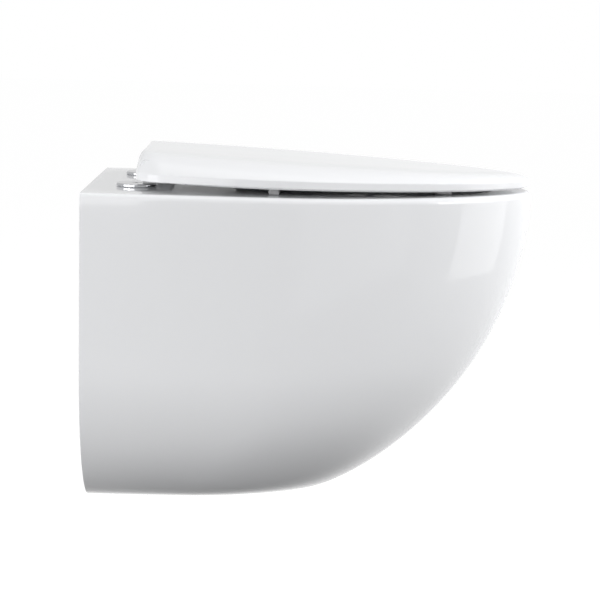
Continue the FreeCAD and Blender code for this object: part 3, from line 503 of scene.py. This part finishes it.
def duct(name, radius, end_depth, finish=raw_china):
    """Round bar on the flush inlet's axis."""
    return bar(name, [at(0.0, -PAST_WALL, INLET_Z), at(0.0, end_depth, INLET_Z)], radius, finish=finish)


def socket(name, side, radius, end_depth):
    """Round bar on a wall stud's axis."""
    x = side * FIXING_SPACING / 2.0
    return bar(name, [at(x, -PAST_WALL, 0.0), at(x, end_depth, 0.0)], radius)


trap_line = [at(0.0, p.x, p.y) for p in TRAP_ROUTE]
openings = [hollow(), bar("trap_bore", trap_line, TRAP_RADIUS, finish=glazed_china),
            duct("inlet_bore", INLET_RADIUS, INLET_DEPTH),
            duct("duct_bore", DUCT_RADIUS, BASIN_REAR_DEPTH + 2.0 * BASIN_WALL, glazed_china)]
for side in SIDES.values():
    stud = at(side * FIXING_SPACING / 2.0, HINGE_HOLE_DEPTH, 0.0)
    hinge_hole = at(side * HINGE_SPACING / 2.0, HINGE_HOLE_DEPTH, DECK_Z)
    slope = (hinge_hole - stud).normalized()
    way_length = (SOCKET_RADIUS + 2.0 * SOCKET_WALL) * MM
    openings.append(socket("socket_bore", side, SOCKET_RADIUS, SOCKET_DEPTH + PAST_WALL))
    openings.append(bar("clamp_way", [stud, stud + slope * way_length], CLAMP_WAY_RADIUS))
    deck_drill = Vector((0.0, 0.0, 2.0 * DECK_THICKNESS * MM))
    openings.append(bar("hinge_hole", [hinge_hole - deck_drill, hinge_hole + deck_drill],
                        HINGE_HOLE_RADIUS))
casting.data.materials.append(glazed_china)
cut(casting, openings, keep_finish=True)
bare = casting.data.materials.find(raw_china.name)
for face in casting.data.polygons:
    if all(casting.data.vertices[i].co.y > -WALL_FACE_DEPTH * MM for i in face.vertices):
        face.material_index = bare
print("bowl faces after cutting", len(casting.data.polygons), "finishes", casting.data.materials.keys())

# %% [markdown]
# The lid is one moulded shell. Its rim line falls towards the front, so every row of points gets its height
# from a rule of depth: a slanted line for the skirt's lower edge, one for the upper edge of its upright band
# and one for the top. Over the band a crease starts a long shallow crown, which gives the lid its knife-thin
# look from the side. Only the hinges' corner stays high and short.

# %% Lid
LID_REAR_DEPTH, LID_SIDE_INSET, LID_TIP_INSET, LID_REAR_INSET = 57.0, 9.0, 1.5, 13.0
LID_CORNER_RADIUS, LID_WALL, INNER_BAND_DROP = 36.4, 3.5, 1.2
LID_GAP, LID_BAND, LID_TOP = (11.7, 5.8), (20.4, 13.6), (42.0, 19.4)     # over the deck, rear and front
CROWN_SIDE_RUN, CROWN_TIP_RUN, CROWN_REAR_RUN, CROWN_CORNER_LOSS = 80.0, 40.0, 8.5, 28.0
CROWN_POWER, CROWN_ROWS = 3.5, 18                    # how soon the crown flattens
AXIS_DEPTH, AXIS_Z = 70.0, DECK_Z + 26.0
BLOCK_WIDTH, SIDE_PLAY, NOTCH_CLEARANCE, HINGE_RELIEF = 16.0, 0.5, 1.5, 1.0
KNUCKLE_RADIUS, KNUCKLE_LENGTH, PIN_RADIUS, PIN_REACH = 8.0, 44.0, 3.5, 30.0
DAMPER_RADIUS, DAMPER_LENGTH = 6.0, 40.0
QUARTER = 0.5523                                     # handle of a quarter circle drawn as a cubic
CORNER_STEPS = 12
SOFT_SHARE, SOFT_DROP = 0.012, 0.9                   # how far a crease is rounded, over and below it
SOFT_STEPS = (0.0, 0.25, 0.5, 0.75)                  # rows on that round
LIP_ROUND = 0.8                                      # the skirt's lower edge is broken this much
BROKEN_EDGE_ANGLE = 40.0                             # degrees over which an edge is broken


def slanted(ends, shift=0.0):
    """Height rule that runs straight from the lid's rear to its tip."""
    run = BOWL_LENGTH - LID_TIP_INSET - LID_REAR_DEPTH
    return lambda depth: (DECK_Z + shift + ends[0]
                          + (ends[1] - ends[0]) * (depth - LID_REAR_DEPTH) / run)


def cover_outline(rear_depth, radius, side_inset, tip_inset):
    """Half outline of lid or seat, inset from the lid's own edge."""
    rear_half = REAR_WIDTH / 2.0 - LID_REAR_INSET - side_inset
    half_width = BOWL_WIDTH / 2.0 - LID_SIDE_INSET - side_inset
    tip_depth = BOWL_LENGTH - LID_TIP_INSET - tip_inset
    handle, corner_end = radius * (1.0 - QUARTER), rear_depth + radius
    corner = [(rear_half - radius, rear_depth), (rear_half - handle, rear_depth),
              (rear_half, rear_depth + handle), (rear_half, corner_end)]
    return (drawn([(0.0, rear_depth), corner[0]], REAR_STEPS) + drawn(corner, CORNER_STEPS)
            + drawn(side_curve(rear_half, corner_end, half_width, WIDE_DEPTH), SIDE_STEPS)
            + drawn(front_curve(half_width, WIDE_DEPTH, tip_depth), FRONT_STEPS)
            + [Vector((0.0, tip_depth))])


def lid_outline(inset, closing=0.0):
    """Lid's edge moved in by a wall and by a share of the crown's run."""
    return cover_outline(LID_REAR_DEPTH + inset + closing * CROWN_REAR_RUN,
                         LID_CORNER_RADIUS - inset - closing * CROWN_CORNER_LOSS,
                         inset + closing * CROWN_SIDE_RUN, inset + closing * CROWN_TIP_RUN)


def mixed(low, high, share):
    """Height rule at a share of the way between two others."""
    return lambda depth: low(depth) + share * (high(depth) - low(depth))


def crown_rows(outline, low, top, power, rows):
    """Rows over a crown that starts with a softly rounded crease and flattens towards its top."""

    def height(closing):
        """Height rule where the crown has closed in by that share."""
        return mixed(low, top, 1.0 - (1.0 - closing) ** power)

    def below(depth):
        """Height where the round starts, on the upright band."""
        return low(depth) - SOFT_DROP

    made = []
    for share in SOFT_STEPS:
        rule = mixed(mixed(below, low, share), mixed(low, height(SOFT_SHARE), share), share)
        made.append(ring(outline(SOFT_SHARE * share * share), rule))
    for i in range(rows + 1):
        closing = SOFT_SHARE + (1.0 - SOFT_SHARE) * (1.0 - math.cos(math.radians(90.0 * i / rows)))
        made.append(ring(outline(closing), height(closing)))
    return made


def lid_rows(inset, band_drop=0.0):
    """Rows from the skirt's lower edge to the top, outside (inset 0) or inside the shell."""
    lip = -LIP_ROUND if inset else LIP_ROUND
    rows = [ring(lid_outline(inset + lip * (1.0 - math.sin(turn))),
                 slanted(LID_GAP, LIP_ROUND * (1.0 - math.cos(turn))))
            for turn in turns(SMALL_ROUND_ROWS)]
    return rows + crown_rows(lambda closing: lid_outline(inset, closing), slanted(LID_BAND, -band_drop),
                             slanted(LID_TOP, -inset), CROWN_POWER, CROWN_ROWS)


def lid_room(name, inset):
    """Solid as large as the lid's outside moved in, with the band's edge drawn down in proportion."""
    return lofted(name, lid_rows(inset, INNER_BAND_DROP * inset / LID_WALL))


def axis_point(x):
    """Point on the pivot axis."""
    return at(x, AXIS_DEPTH, AXIS_Z)


def knuckle_ends(side, outward):
    """Near and far end of the knuckle beside a hinge block."""
    near = side * HINGE_SPACING / 2.0 + side * outward * (BLOCK_WIDTH / 2.0 + SIDE_PLAY)
    return near, side * outward


def knuckle(side, outward, with_damper):
    """Barrel beside a hinge block, and the bore for its damper or pin."""
    near, way = knuckle_ends(side, outward)
    radius, length = (DAMPER_RADIUS, DAMPER_LENGTH) if with_damper else (PIN_RADIUS, PIN_REACH)
    barrel = bar("knuckle", [axis_point(near), axis_point(near + way * KNUCKLE_LENGTH)], KNUCKLE_RADIUS)
    bore = bar("bore", [axis_point(near - way), axis_point(near + way * length)], radius)
    return barrel, bore


def softened(piece, width, segments=2):
    """Breaks the sharp edges of a piece, as a mould or a file does."""
    bevel = piece.modifiers.new("edges", "BEVEL")
    bevel.width, bevel.segments, bevel.limit_method = width * MM, segments, "ANGLE"
    bevel.angle_limit, bevel.harden_normals = math.radians(BROKEN_EDGE_ANGLE), False
    settled(piece)
    return piece


lid_shell = lofted("lid_moulding", lid_rows(LID_WALL, INNER_BAND_DROP)[::-1] + lid_rows(0.0))
inner_end = HINGE_SPACING / 2.0 + BLOCK_WIDTH / 2.0 + SIDE_PLAY
notch = BLOCK_WIDTH / 2.0 + NOTCH_CLEARANCE
room_for_hinges = [bar("relief", [axis_point(-inner_end), axis_point(inner_end)],
                       KNUCKLE_RADIUS + HINGE_RELIEF)]
for side in SIDES.values():
    x = side * HINGE_SPACING / 2.0
    room_for_hinges.append(block("notch", (x - notch, 0.0, DECK_Z),
                                 (x + notch, AXIS_DEPTH, DECK_Z + LID_TOP[0] - LID_WALL)))
cut(lid_shell, room_for_hinges)
barrels, bores = [], []
for side in SIDES.values():
    near, way = knuckle_ends(side, 1.0)
    ends = sorted((near, near + way * KNUCKLE_LENGTH))
    rib = block("rib", (ends[0], LID_REAR_DEPTH, AXIS_Z),
                (ends[1], AXIS_DEPTH + KNUCKLE_RADIUS, DECK_Z + LID_TOP[0]))
    barrel, bore = knuckle(side, 1.0, side < 0.0)
    barrels += [barrel, cut(rib, [lid_room("wall_middle", LID_WALL / 2.0)], "INTERSECT")]
    bores.append(bore)
cut(lid_shell, barrels, "UNION")
cut(lid_shell, bores)
print("lid faces", len(lid_shell.data.polygons))

# %% [markdown]
# The seat is a closed ring. Its rows go round the section: up the outside, over a crown of its own that
# keeps clear of the lid's, down through the opening and back under. Two arms carry knuckles between the
# hinge blocks.

# %% Seat
SEAT_REAR_DEPTH, SEAT_CLEARANCE, SEAT_CORNER_RADIUS, SEAT_BELOW_SKIRT = 92.0, 1.5, 34.0, 2.0
SEAT_THICK = (16.4, 8.6)                             # at the rear and at the front
SEAT_EDGE_SHARE, SEAT_CROWN_RUN, SEAT_CROWN_POWER, SEAT_CROWN_ROWS = 0.5, 22.0, 2.2, 10
SEAT_LOW_ROUND, SEAT_HOLE_ROUND = 1.5, 5.0
SEAT_HOLE_REAR, SEAT_HOLE_LENGTH, SEAT_HOLE_HALF_WIDTH = 168.0, 268.0, 107.0
ARM_LOW_Z, ARM_THICKNESS, ARM_FRONT_DEPTH = DECK_Z + 21.0, 9.5, 104.0
ARM_EDGE = 1.2


def seat_low(rise=0.0):
    """Height rule of the seat's underside."""
    return slanted(LID_GAP, rise - SEAT_BELOW_SKIRT)


def seat_top(drop=0.0):
    """Height rule of the seat's top."""
    ends = [gap + thick for gap, thick in zip(LID_GAP, SEAT_THICK)]
    return slanted(ends, -SEAT_BELOW_SKIRT - drop)


def seat_rows():
    """Rows round the ring's section, from its lower outer edge."""

    def outer(inset):
        """Outer half outline, moved in."""
        edge = LID_WALL + SEAT_CLEARANCE + inset
        return cover_outline(SEAT_REAR_DEPTH + inset, SEAT_CORNER_RADIUS - inset, edge, edge)

    mouth = oval(SEAT_HOLE_REAR, SEAT_HOLE_REAR + SEAT_HOLE_LENGTH, SEAT_HOLE_HALF_WIDTH,
                 REAR_STEPS + CORNER_STEPS + SIDE_STEPS)
    rows = []
    for turn in turns(SMALL_ROUND_ROWS):
        rows.append(ring(outer(SEAT_LOW_ROUND * (1.0 - math.sin(turn))),
                         seat_low(SEAT_LOW_ROUND * (1.0 - math.cos(turn)))))
    rows += crown_rows(lambda closing: outer(closing * SEAT_CROWN_RUN),
                       mixed(seat_low(), seat_top(), SEAT_EDGE_SHARE), seat_top(), SEAT_CROWN_POWER,
                       SEAT_CROWN_ROWS)
    for turn in turns(WIDE_ROUND_ROWS):
        rows.append(ring(moved_in(mouth, -SEAT_HOLE_ROUND * (1.0 - math.sin(turn))),
                         seat_top(SEAT_HOLE_ROUND * (1.0 - math.cos(turn)))))
    for turn in turns(SMALL_ROUND_ROWS):
        rows.append(ring(moved_in(mouth, -SEAT_LOW_ROUND * (1.0 - math.cos(turn))),
                         seat_low(SEAT_LOW_ROUND * (1.0 - math.sin(turn)))))
    return rows


seat_ring = lofted("seat_moulding", seat_rows(), endless=True)
arms, bores = [], []
for side in SIDES.values():
    near, way = knuckle_ends(side, -1.0)
    ends = sorted((near, near + way * KNUCKLE_LENGTH))
    arm = softened(block("arm", (ends[0], AXIS_DEPTH, ARM_LOW_Z),
                         (ends[1], ARM_FRONT_DEPTH, ARM_LOW_Z + ARM_THICKNESS)), ARM_EDGE)
    barrel, bore = knuckle(side, -1.0, side > 0.0)
    arms += [arm, barrel]
    bores.append(bore)
cut(seat_ring, arms, "UNION")
cut(seat_ring, bores)
print("seat faces", len(seat_ring.data.polygons))

# %% [markdown]
# The soft feet under the seat and the pads in the lid are the same small moulding in different sizes, so one
# Geometry Nodes tree makes them: it puts a cube on each place, pulls its points in to a rounded box, and
# makes the copies real. A higher Squareness gives flatter sides.

# %% Rounded pads by nodes
REAR_FOOT_DEPTH, FRONT_FOOT_DEPTH, FOOT_WIDTH, REST_GAP = 210.0, 404.0, 12.0, 0.3
REAR_FOOT_LENGTH, FRONT_FOOT_LENGTH, PAD_WIDTH = 12.0, 18.0, 12.0
SET_IN = 0.4                                         # a pad is pressed this far into its carrier
FOOT_SQUARENESS, PAD_SQUARENESS, CUBE_POINTS = 7.0, 4.0, 13

pad_tree, pad_in = geometry_tree("rounded pads", {"Size": "NodeSocketVector",
                                                  "Squareness": "NodeSocketFloat"})
cube = add(pad_tree, "GeometryNodeMeshCube", {"Size": (2.0, 2.0, 2.0), "Vertices X": CUBE_POINTS,
                                              "Vertices Y": CUBE_POINTS, "Vertices Z": CUBE_POINTS})
place = add(pad_tree, "GeometryNodeInputPosition")
absolute = add(pad_tree, "ShaderNodeVectorMath", {0: place.outputs["Position"]}, operation="ABSOLUTE")
parts = add(pad_tree, "ShaderNodeSeparateXYZ", {"Vector": absolute.outputs["Vector"]})
powers = [add(pad_tree, "ShaderNodeMath", {0: parts.outputs[axis], 1: pad_in.outputs["Squareness"]},
              operation="POWER") for axis in "XYZ"]
first_sum = add(pad_tree, "ShaderNodeMath", {0: powers[0].outputs[0], 1: powers[1].outputs[0]})
whole_sum = add(pad_tree, "ShaderNodeMath", {0: first_sum.outputs[0], 1: powers[2].outputs[0]})
inverse = add(pad_tree, "ShaderNodeMath", {0: 1.0, 1: pad_in.outputs["Squareness"]}, operation="DIVIDE")
length = add(pad_tree, "ShaderNodeMath", {0: whole_sum.outputs[0], 1: inverse.outputs[0]},
             operation="POWER")
reach = add(pad_tree, "ShaderNodeMath", {0: 0.5, 1: length.outputs[0]}, operation="DIVIDE")
rounded = add(pad_tree, "ShaderNodeVectorMath", {0: place.outputs["Position"],
                                                 "Scale": reach.outputs[0]}, operation="SCALE")
sized = add(pad_tree, "ShaderNodeVectorMath", {0: rounded.outputs["Vector"], 1: pad_in.outputs["Size"]},
            operation="MULTIPLY")
shaped = add(pad_tree, "GeometryNodeSetPosition", {"Geometry": cube.outputs["Mesh"],
                                                   "Position": sized.outputs["Vector"]})
copies = add(pad_tree, "GeometryNodeInstanceOnPoints", {"Points": pad_in.outputs["Geometry"],
                                                        "Instance": shaped.outputs["Geometry"]})
real = add(pad_tree, "GeometryNodeRealizeInstances", {"Geometry": copies.outputs["Instances"]})
finished = add(pad_tree, "GeometryNodeSetMaterial", {"Geometry": real.outputs["Geometry"],
                                                     "Material": soft_grey})
add(pad_tree, "NodeGroupOutput", {"Geometry": finished.outputs["Geometry"]})


HALVINGS = 40


def half_width_at(poles, depth):
    """x where a quarter outline crosses a depth, found by halving."""
    low, high = 0.0, 1.0
    for _ in range(HALVINGS):
        middle = (low + high) / 2.0
        low, high = (middle, high) if on_curve(poles, middle).y < depth else (low, middle)
    return on_curve(poles, low).x


def rim_centre(depth):
    """x of the middle of the seat at a depth."""
    tip = SEAT_HOLE_REAR + SEAT_HOLE_LENGTH
    wide = SEAT_HOLE_REAR + OVAL_WIDE_SHARE * SEAT_HOLE_LENGTH
    outer = half_width_at(front_curve(BOWL_WIDTH / 2.0, WIDE_DEPTH, BOWL_LENGTH), depth)
    inner = half_width_at(front_curve(SEAT_HOLE_HALF_WIDTH, wide, tip), depth)
    return (outer - LID_SIDE_INSET + inner) / 2.0


def pads(name, low_rule, high_rule, depth, size_across, size_along, squareness):
    """A pair of pads, left and right, between two height rules."""
    low, high = low_rule(depth), high_rule(depth)
    places = [tuple(at(side * rim_centre(depth), depth, (low + high) / 2.0)) for side in SIDES.values()]
    size = (size_across * MM, size_along * MM, (high - low) * MM)
    return grown(name, places, [], pad_tree, {"Size": size, "Squareness": squareness})


def joined(name, *pieces):
    """One piece from several."""
    bm = bmesh.new()
    for piece in pieces:
        bm.from_mesh(piece.data)
        bpy.data.objects.remove(piece)
    return new_piece(name, bm)


rim_rule = slanted((REST_GAP, REST_GAP))
feet = joined("seat_feet",
              pads("feet", rim_rule, seat_low(SET_IN), REAR_FOOT_DEPTH, FOOT_WIDTH, REAR_FOOT_LENGTH,
                   FOOT_SQUARENESS),
              pads("feet", rim_rule, seat_low(SET_IN), FRONT_FOOT_DEPTH, FOOT_WIDTH, FRONT_FOOT_LENGTH,
                   FOOT_SQUARENESS))
lid_inside = slanted(LID_TOP, SET_IN - LID_WALL)
lid_pads = joined("lid_pads", *[pads("pads", seat_top(-REST_GAP), lid_inside, depth, PAD_WIDTH, PAD_WIDTH,
                                     PAD_SQUARENESS) for depth in (REAR_FOOT_DEPTH, FRONT_FOOT_DEPTH)])
cut(lid_pads, [lid_room("pad_seat", LID_WALL - SET_IN)], "INTERSECT")

# %% [markdown]
# The small hardware keeps its CAD shape. Real parts have broken edges, and those catch the light, so each
# CAD piece is copied, its loose triangles are merged, and its sharp edges get a small bevel.

# %% Small hardware
SAME_POINT, FLAT_ANGLE = 0.002, 1.0                  # millimetres between merged points, degrees left flat
BOLT_EDGE, POST_EDGE, HIDDEN_EDGE = 0.15, 0.7, 0.3   # width of each broken edge


def refined(node, edge, name):
    """Copy of a CAD node with merged points and softly broken edges."""
    bm = bmesh.new()
    bm.from_mesh(frame["nodes"][node].data)
    bmesh.ops.remove_doubles(bm, verts=bm.verts, dist=SAME_POINT * MM)
    bmesh.ops.dissolve_limit(bm, angle_limit=math.radians(FLAT_ANGLE), verts=bm.verts, edges=bm.edges)
    return softened(new_piece(name, bm), edge)


def turned(name, profile, centre, sides=96):
    """Endless ring of a (radius, height over centre) profile round an upright axis."""
    rows = []
    for radius, height in profile:
        angles = [2.0 * math.pi * i / sides for i in range(sides)]
        rows.append([centre + Vector((radius * math.cos(a), radius * math.sin(a), height)) * MM
                     for a in angles])
    return lofted(name, rows, endless=True)


DISC_RADIUS, DISC_THICKNESS, DISC_EDGE, DISC_BEVEL = 23.0, 4.0, 1.2, 0.9
BOLT_RADIUS, BOLT_HEAD_RADIUS, BOLT_HEAD_HEIGHT, HOLE_BREAK = 3.0, 6.0, 3.0, 0.2


def base_disc(side, word):
    """Polished base disc: flat foot bevelled off the deck, soft upper edge, countersunk hole."""
    profile = [(BOLT_RADIUS, 0.0), (DISC_RADIUS - DISC_BEVEL, 0.0), (DISC_RADIUS, DISC_BEVEL)]
    for turn in turns(WIDE_ROUND_ROWS):
        profile.append((DISC_RADIUS - DISC_EDGE * (1.0 - math.cos(turn)),
                        DISC_THICKNESS - DISC_EDGE * (1.0 - math.sin(turn))))
    profile += [(BOLT_HEAD_RADIUS + HOLE_BREAK, DISC_THICKNESS),
                (BOLT_HEAD_RADIUS, DISC_THICKNESS - HOLE_BREAK),
                (BOLT_RADIUS, DISC_THICKNESS - BOLT_HEAD_HEIGHT)]
    centre = at(side * HINGE_SPACING / 2.0, HINGE_HOLE_DEPTH, DECK_Z)
    return turned("base_disc_" + word, profile, centre)


discs, bolts, blocks = {}, {}, {}
HEX_SOCKET_RADIUS, HEX_SOCKET_DEPTH = 2.3, 2.0
for word, side in SIDES.items():
    discs[word] = base_disc(side, word)
    bolts[word] = refined("hinge_bolt_" + word, BOLT_EDGE, "countersunk_bolt_" + word)
    head = at(side * HINGE_SPACING / 2.0, HINGE_HOLE_DEPTH, DECK_Z + DISC_THICKNESS)
    down = Vector((0.0, 0.0, HEX_SOCKET_DEPTH * MM))
    cut(bolts[word], [bar("hex", [head - down, head + down], HEX_SOCKET_RADIUS, sides=6)])
    blocks[word] = refined("hinge_block_" + word, POST_EDGE, "hinge_post_" + word)
hidden = {node: refined(node, HIDDEN_EDGE, node + "_edged") for node in (
    "fixing_anchor_left", "fixing_anchor_right", "clamp_screw_left", "clamp_screw_right", "inlet_seal",
    "expansion_plug_left", "expansion_plug_right", "expansion_nut_left", "expansion_nut_right",
    "seat_damper_body", "lid_damper_body", "seat_damper_spindle", "lid_damper_spindle",
    "seat_pivot_pin", "lid_pivot_pin")}
print("small pieces", len(discs) + len(bolts) + len(blocks) + len(hidden))

# %% [markdown]
# Every piece is shaded smooth except over its real corners, and large faces lead the normals, so that the
# glaze mirrors cleanly. Each piece then rides on the body that carries it and takes its CAD node's place.

# %% Dressing the pieces
CORNER_ANGLE = 32.0                                  # degrees over which a corner stays sharp


def dress(piece, finish, body, slot, *nodes):
    """Smooths a piece, gives it its finish and ties it to the frame."""
    mesh = piece.data
    if not mesh.materials:
        mesh.materials.append(finish)
    mesh.shade_smooth()
    mesh.set_sharp_from_angle(angle=math.radians(CORNER_ANGLE))
    weighted = piece.modifiers.new("normals", "WEIGHTED_NORMAL")
    weighted.keep_sharp = True
    settled(piece)
    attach(piece, body)
    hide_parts(*nodes)


dress(casting, glazed_china, "base", "ceramic", "bowl")
dress(lid_shell, duroplast, "cover", "cover_plastic", "lid")
dress(seat_ring, duroplast, "seat", "cover_plastic", "seat_ring")
dress(feet, soft_grey, "seat", "soft_grey", "seat_bumpers")
dress(lid_pads, soft_grey, "cover", "soft_grey", "lid_bumpers")
for word in SIDES:
    dress(discs[word], polished_chrome, "base", "chrome", "hinge_disc_" + word)
    dress(bolts[word], stainless, "base", "steel", "hinge_bolt_" + word)
    dress(blocks[word], hinge_plastic, "base", "hinge_plastic", "hinge_block_" + word)
FINISH_OF = {"fixing_anchor": (nylon, "nylon"), "clamp_screw": (stainless, "steel"),
             "inlet_seal": (black_rubber, "dark_rubber"), "expansion_plug": (black_rubber, "dark_rubber"),
             "expansion_nut": (brass, "brass"), "seat_damper_body": (damper_plastic, "damper_grey"),
             "lid_damper_body": (damper_plastic, "damper_grey"),
             "seat_damper_spindle": (stainless, "steel"), "lid_damper_spindle": (stainless, "steel"),
             "seat_pivot_pin": (stainless, "steel"), "lid_pivot_pin": (stainless, "steel")}
MOVING_BODY = {"seat_damper_body": "seat", "lid_damper_body": "cover"}
for node, piece in hidden.items():
    finish, slot = next(value for key, value in FINISH_OF.items() if node.startswith(key))
    dress(piece, finish, MOVING_BODY.get(node, "base"), slot, node)

# %% [markdown]
# The object hangs in front of a white ground in the photograph. A pale floor lies well below it. For rays
# from the camera, mirror rays and rays through glass the floor glows white, except in a round soft shade
# under the object, so that its underside mirrors a shadow. All other rays only see its paint.

# %% Floor
FLOOR_Z, FLOOR_SIZE, FLOOR_COLOUR = -0.62, 60.0, "#6A6A6A"
MIDDLE_Y = -0.26                                     # half the object's length off the wall, in metres
FLOOR_GLOW, SHADE_SHARE, SHADE_REACH = 0.92, 0.2, (0.15, 0.55)     # reach from and to, in metres


def straight_look(tree):
    """1 for a ray that shows the background itself, 0 for a ray that carries its light."""
    ray = add(tree, "ShaderNodeLightPath")
    some = add(tree, "ShaderNodeMath", {0: ray.outputs["Is Camera Ray"], 1: ray.outputs["Is Glossy Ray"]},
               operation="MAXIMUM")
    return add(tree, "ShaderNodeMath", {0: some.outputs[0], 1: ray.outputs["Is Transmission Ray"]},
               operation="MAXIMUM").outputs[0]


floor_mesh = bpy.data.meshes.new("floor")
half = FLOOR_SIZE / 2.0
floor_mesh.from_pydata([(-half, -half, FLOOR_Z), (half, -half, FLOOR_Z), (half, half, FLOOR_Z),
                        (-half, half, FLOOR_Z)], [], [(0, 1, 2, 3)])
floor = bpy.data.objects.new("floor", floor_mesh)
bpy.context.scene.collection.objects.link(floor)
floor_paint = bpy.data.materials.new("pale floor paint")
floor_paint.use_nodes = True
paint = floor_paint.node_tree
paint.nodes.clear()
plain = add(paint, "ShaderNodeBsdfDiffuse", {"Color": linear(FLOOR_COLOUR)})
spot = add(paint, "ShaderNodeTexCoord")
from_middle = add(paint, "ShaderNodeVectorMath", {0: spot.outputs["Object"], 1: (0.0, MIDDLE_Y, FLOOR_Z)},
                  operation="DISTANCE")
shade = add(paint, "ShaderNodeMapRange", {"Value": from_middle.outputs["Value"],
                                          "From Min": SHADE_REACH[0], "From Max": SHADE_REACH[1],
                                          "To Min": FLOOR_GLOW * SHADE_SHARE, "To Max": FLOOR_GLOW},
            interpolation_type="SMOOTHSTEP")
lift = add(paint, "ShaderNodeMath", {0: straight_look(paint), 1: shade.outputs["Result"]},
           operation="MULTIPLY")
glow = add(paint, "ShaderNodeEmission", {"Color": (1.0, 1.0, 1.0, 1.0), "Strength": lift.outputs[0]})
both = add(paint, "ShaderNodeAddShader", {0: plain.outputs[0], 1: glow.outputs[0]})
add(paint, "ShaderNodeOutputMaterial", {"Surface": both.outputs[0]})
floor_mesh.materials.append(floor_paint)
print("floor at", FLOOR_Z)

# %% [markdown]
# The world is a white wall round the horizon under a greyer ceiling, again for straight looks only: the
# flat deck mirrors the ceiling at a grazing angle, and would clip to white under an all-white world. All
# other rays get a softer light from it. Big softboxes stand to the front, the rear and the camera's side.
# Their powers follow the photograph's greys: brightest on the front of the lid and the bowl's front edge.

# %% World and lamps
HORIZON_LIGHT, ZENITH_LIGHT, WALL_LOOK, CEILING_LOOK = 0.40, 0.56, 1.0, 0.78
LIGHT_HEIGHTS, LOOK_HEIGHTS = (0.0, 60.0), (2.4, 4.0)    # degrees over the horizon where each one changes
world = bpy.data.worlds.new("studio")
bpy.context.scene.world = world
world.use_nodes = True
sky = world.node_tree
sky.nodes.clear()
look = add(sky, "ShaderNodeTexCoord")
rise = add(sky, "ShaderNodeSeparateXYZ", {"Vector": look.outputs["Generated"]}).outputs["Z"]


def by_height(heights, low_level, high_level):
    """World level that changes between two heights over the horizon."""
    ends = [math.sin(math.radians(height)) for height in heights]
    return add(sky, "ShaderNodeMapRange", {"Value": rise, "From Min": ends[0], "From Max": ends[1],
                                           "To Min": low_level, "To Max": high_level},
               interpolation_type="SMOOTHSTEP").outputs["Result"]


level = add(sky, "ShaderNodeMapRange", {"Value": straight_look(sky),
                                        "To Min": by_height(LIGHT_HEIGHTS, HORIZON_LIGHT, ZENITH_LIGHT),
                                        "To Max": by_height(LOOK_HEIGHTS, WALL_LOOK, CEILING_LOOK)})
backdrop = add(sky, "ShaderNodeBackground", {"Color": (1.0, 1.0, 1.0, 1.0),
                                             "Strength": level.outputs["Result"]})
add(sky, "ShaderNodeOutputWorld", {"Surface": backdrop.outputs[0]})


def softbox(name, place, size, power, aim=(0.0, MIDDLE_Y, -0.05)):
    """Rectangular studio lamp that faces the middle of the object."""
    lamp = bpy.data.lights.new(name, "AREA")
    lamp.shape, lamp.size, lamp.size_y, lamp.energy = "RECTANGLE", size[0], size[1], power
    holder = bpy.data.objects.new(name, lamp)
    holder.location = place
    holder.rotation_euler = (Vector(aim) - Vector(place)).to_track_quat("-Z", "Y").to_euler()
    bpy.context.scene.collection.objects.link(holder)


softbox("rear side light", (-1.36, 1.69, 0.28), (1.6, 1.2), 16.5)
softbox("side light", (-2.2, 1.01, 0.49), (1.6, 1.4), 14.0)
softbox("low side light", (-2.24, -1.56, -0.2), (1.8, 0.8), 2.0)
softbox("front light", (0.81, -2.47, 1.05), (2.0, 1.6), 47.0)
softbox("front left light", (-0.78, -2.65, 0.62), (1.2, 1.2), 22.5)
softbox("low front light", (-0.3, -2.35, -0.3), (1.0, 0.85), 3.2)
softbox("top light", (0.0, -0.35, 1.7), (1.6, 1.2), 4.0)
print("lamps", len(bpy.data.lights))

# %% [markdown]
# The camera stands where the photograph's perspective puts it: far off to the left of the object and a
# little above its deck, with a long lens.

# %% Camera
YAW, PITCH, ROLL = -0.0410388, 0.1694891, 0.0285437
LENS_MM, SENSOR_MM, CAMERA_PLACE = 90.0, 36.0, (-1.784604, -0.174436, 0.255357)
level_right = Vector((math.sin(YAW), -math.cos(YAW), 0.0))
forward = Vector((math.cos(YAW) * math.cos(PITCH), math.sin(YAW) * math.cos(PITCH), -math.sin(PITCH)))
level_up = level_right.cross(forward)
right = level_right * math.cos(ROLL) + level_up * math.sin(ROLL)
up = level_up * math.cos(ROLL) - level_right * math.sin(ROLL)
camera_data = bpy.data.cameras.new("camera")
camera_data.lens, camera_data.sensor_width = LENS_MM, SENSOR_MM
camera = bpy.data.objects.new("camera", camera_data)
turned_frame = Matrix((right, up, -forward)).transposed().to_4x4()
camera.matrix_world = Matrix.Translation(CAMERA_PLACE) @ turned_frame
bpy.context.scene.collection.objects.link(camera)
bpy.context.scene.camera = camera
bpy.context.scene.view_settings.view_transform = "Standard"
print("camera at", CAMERA_PLACE)
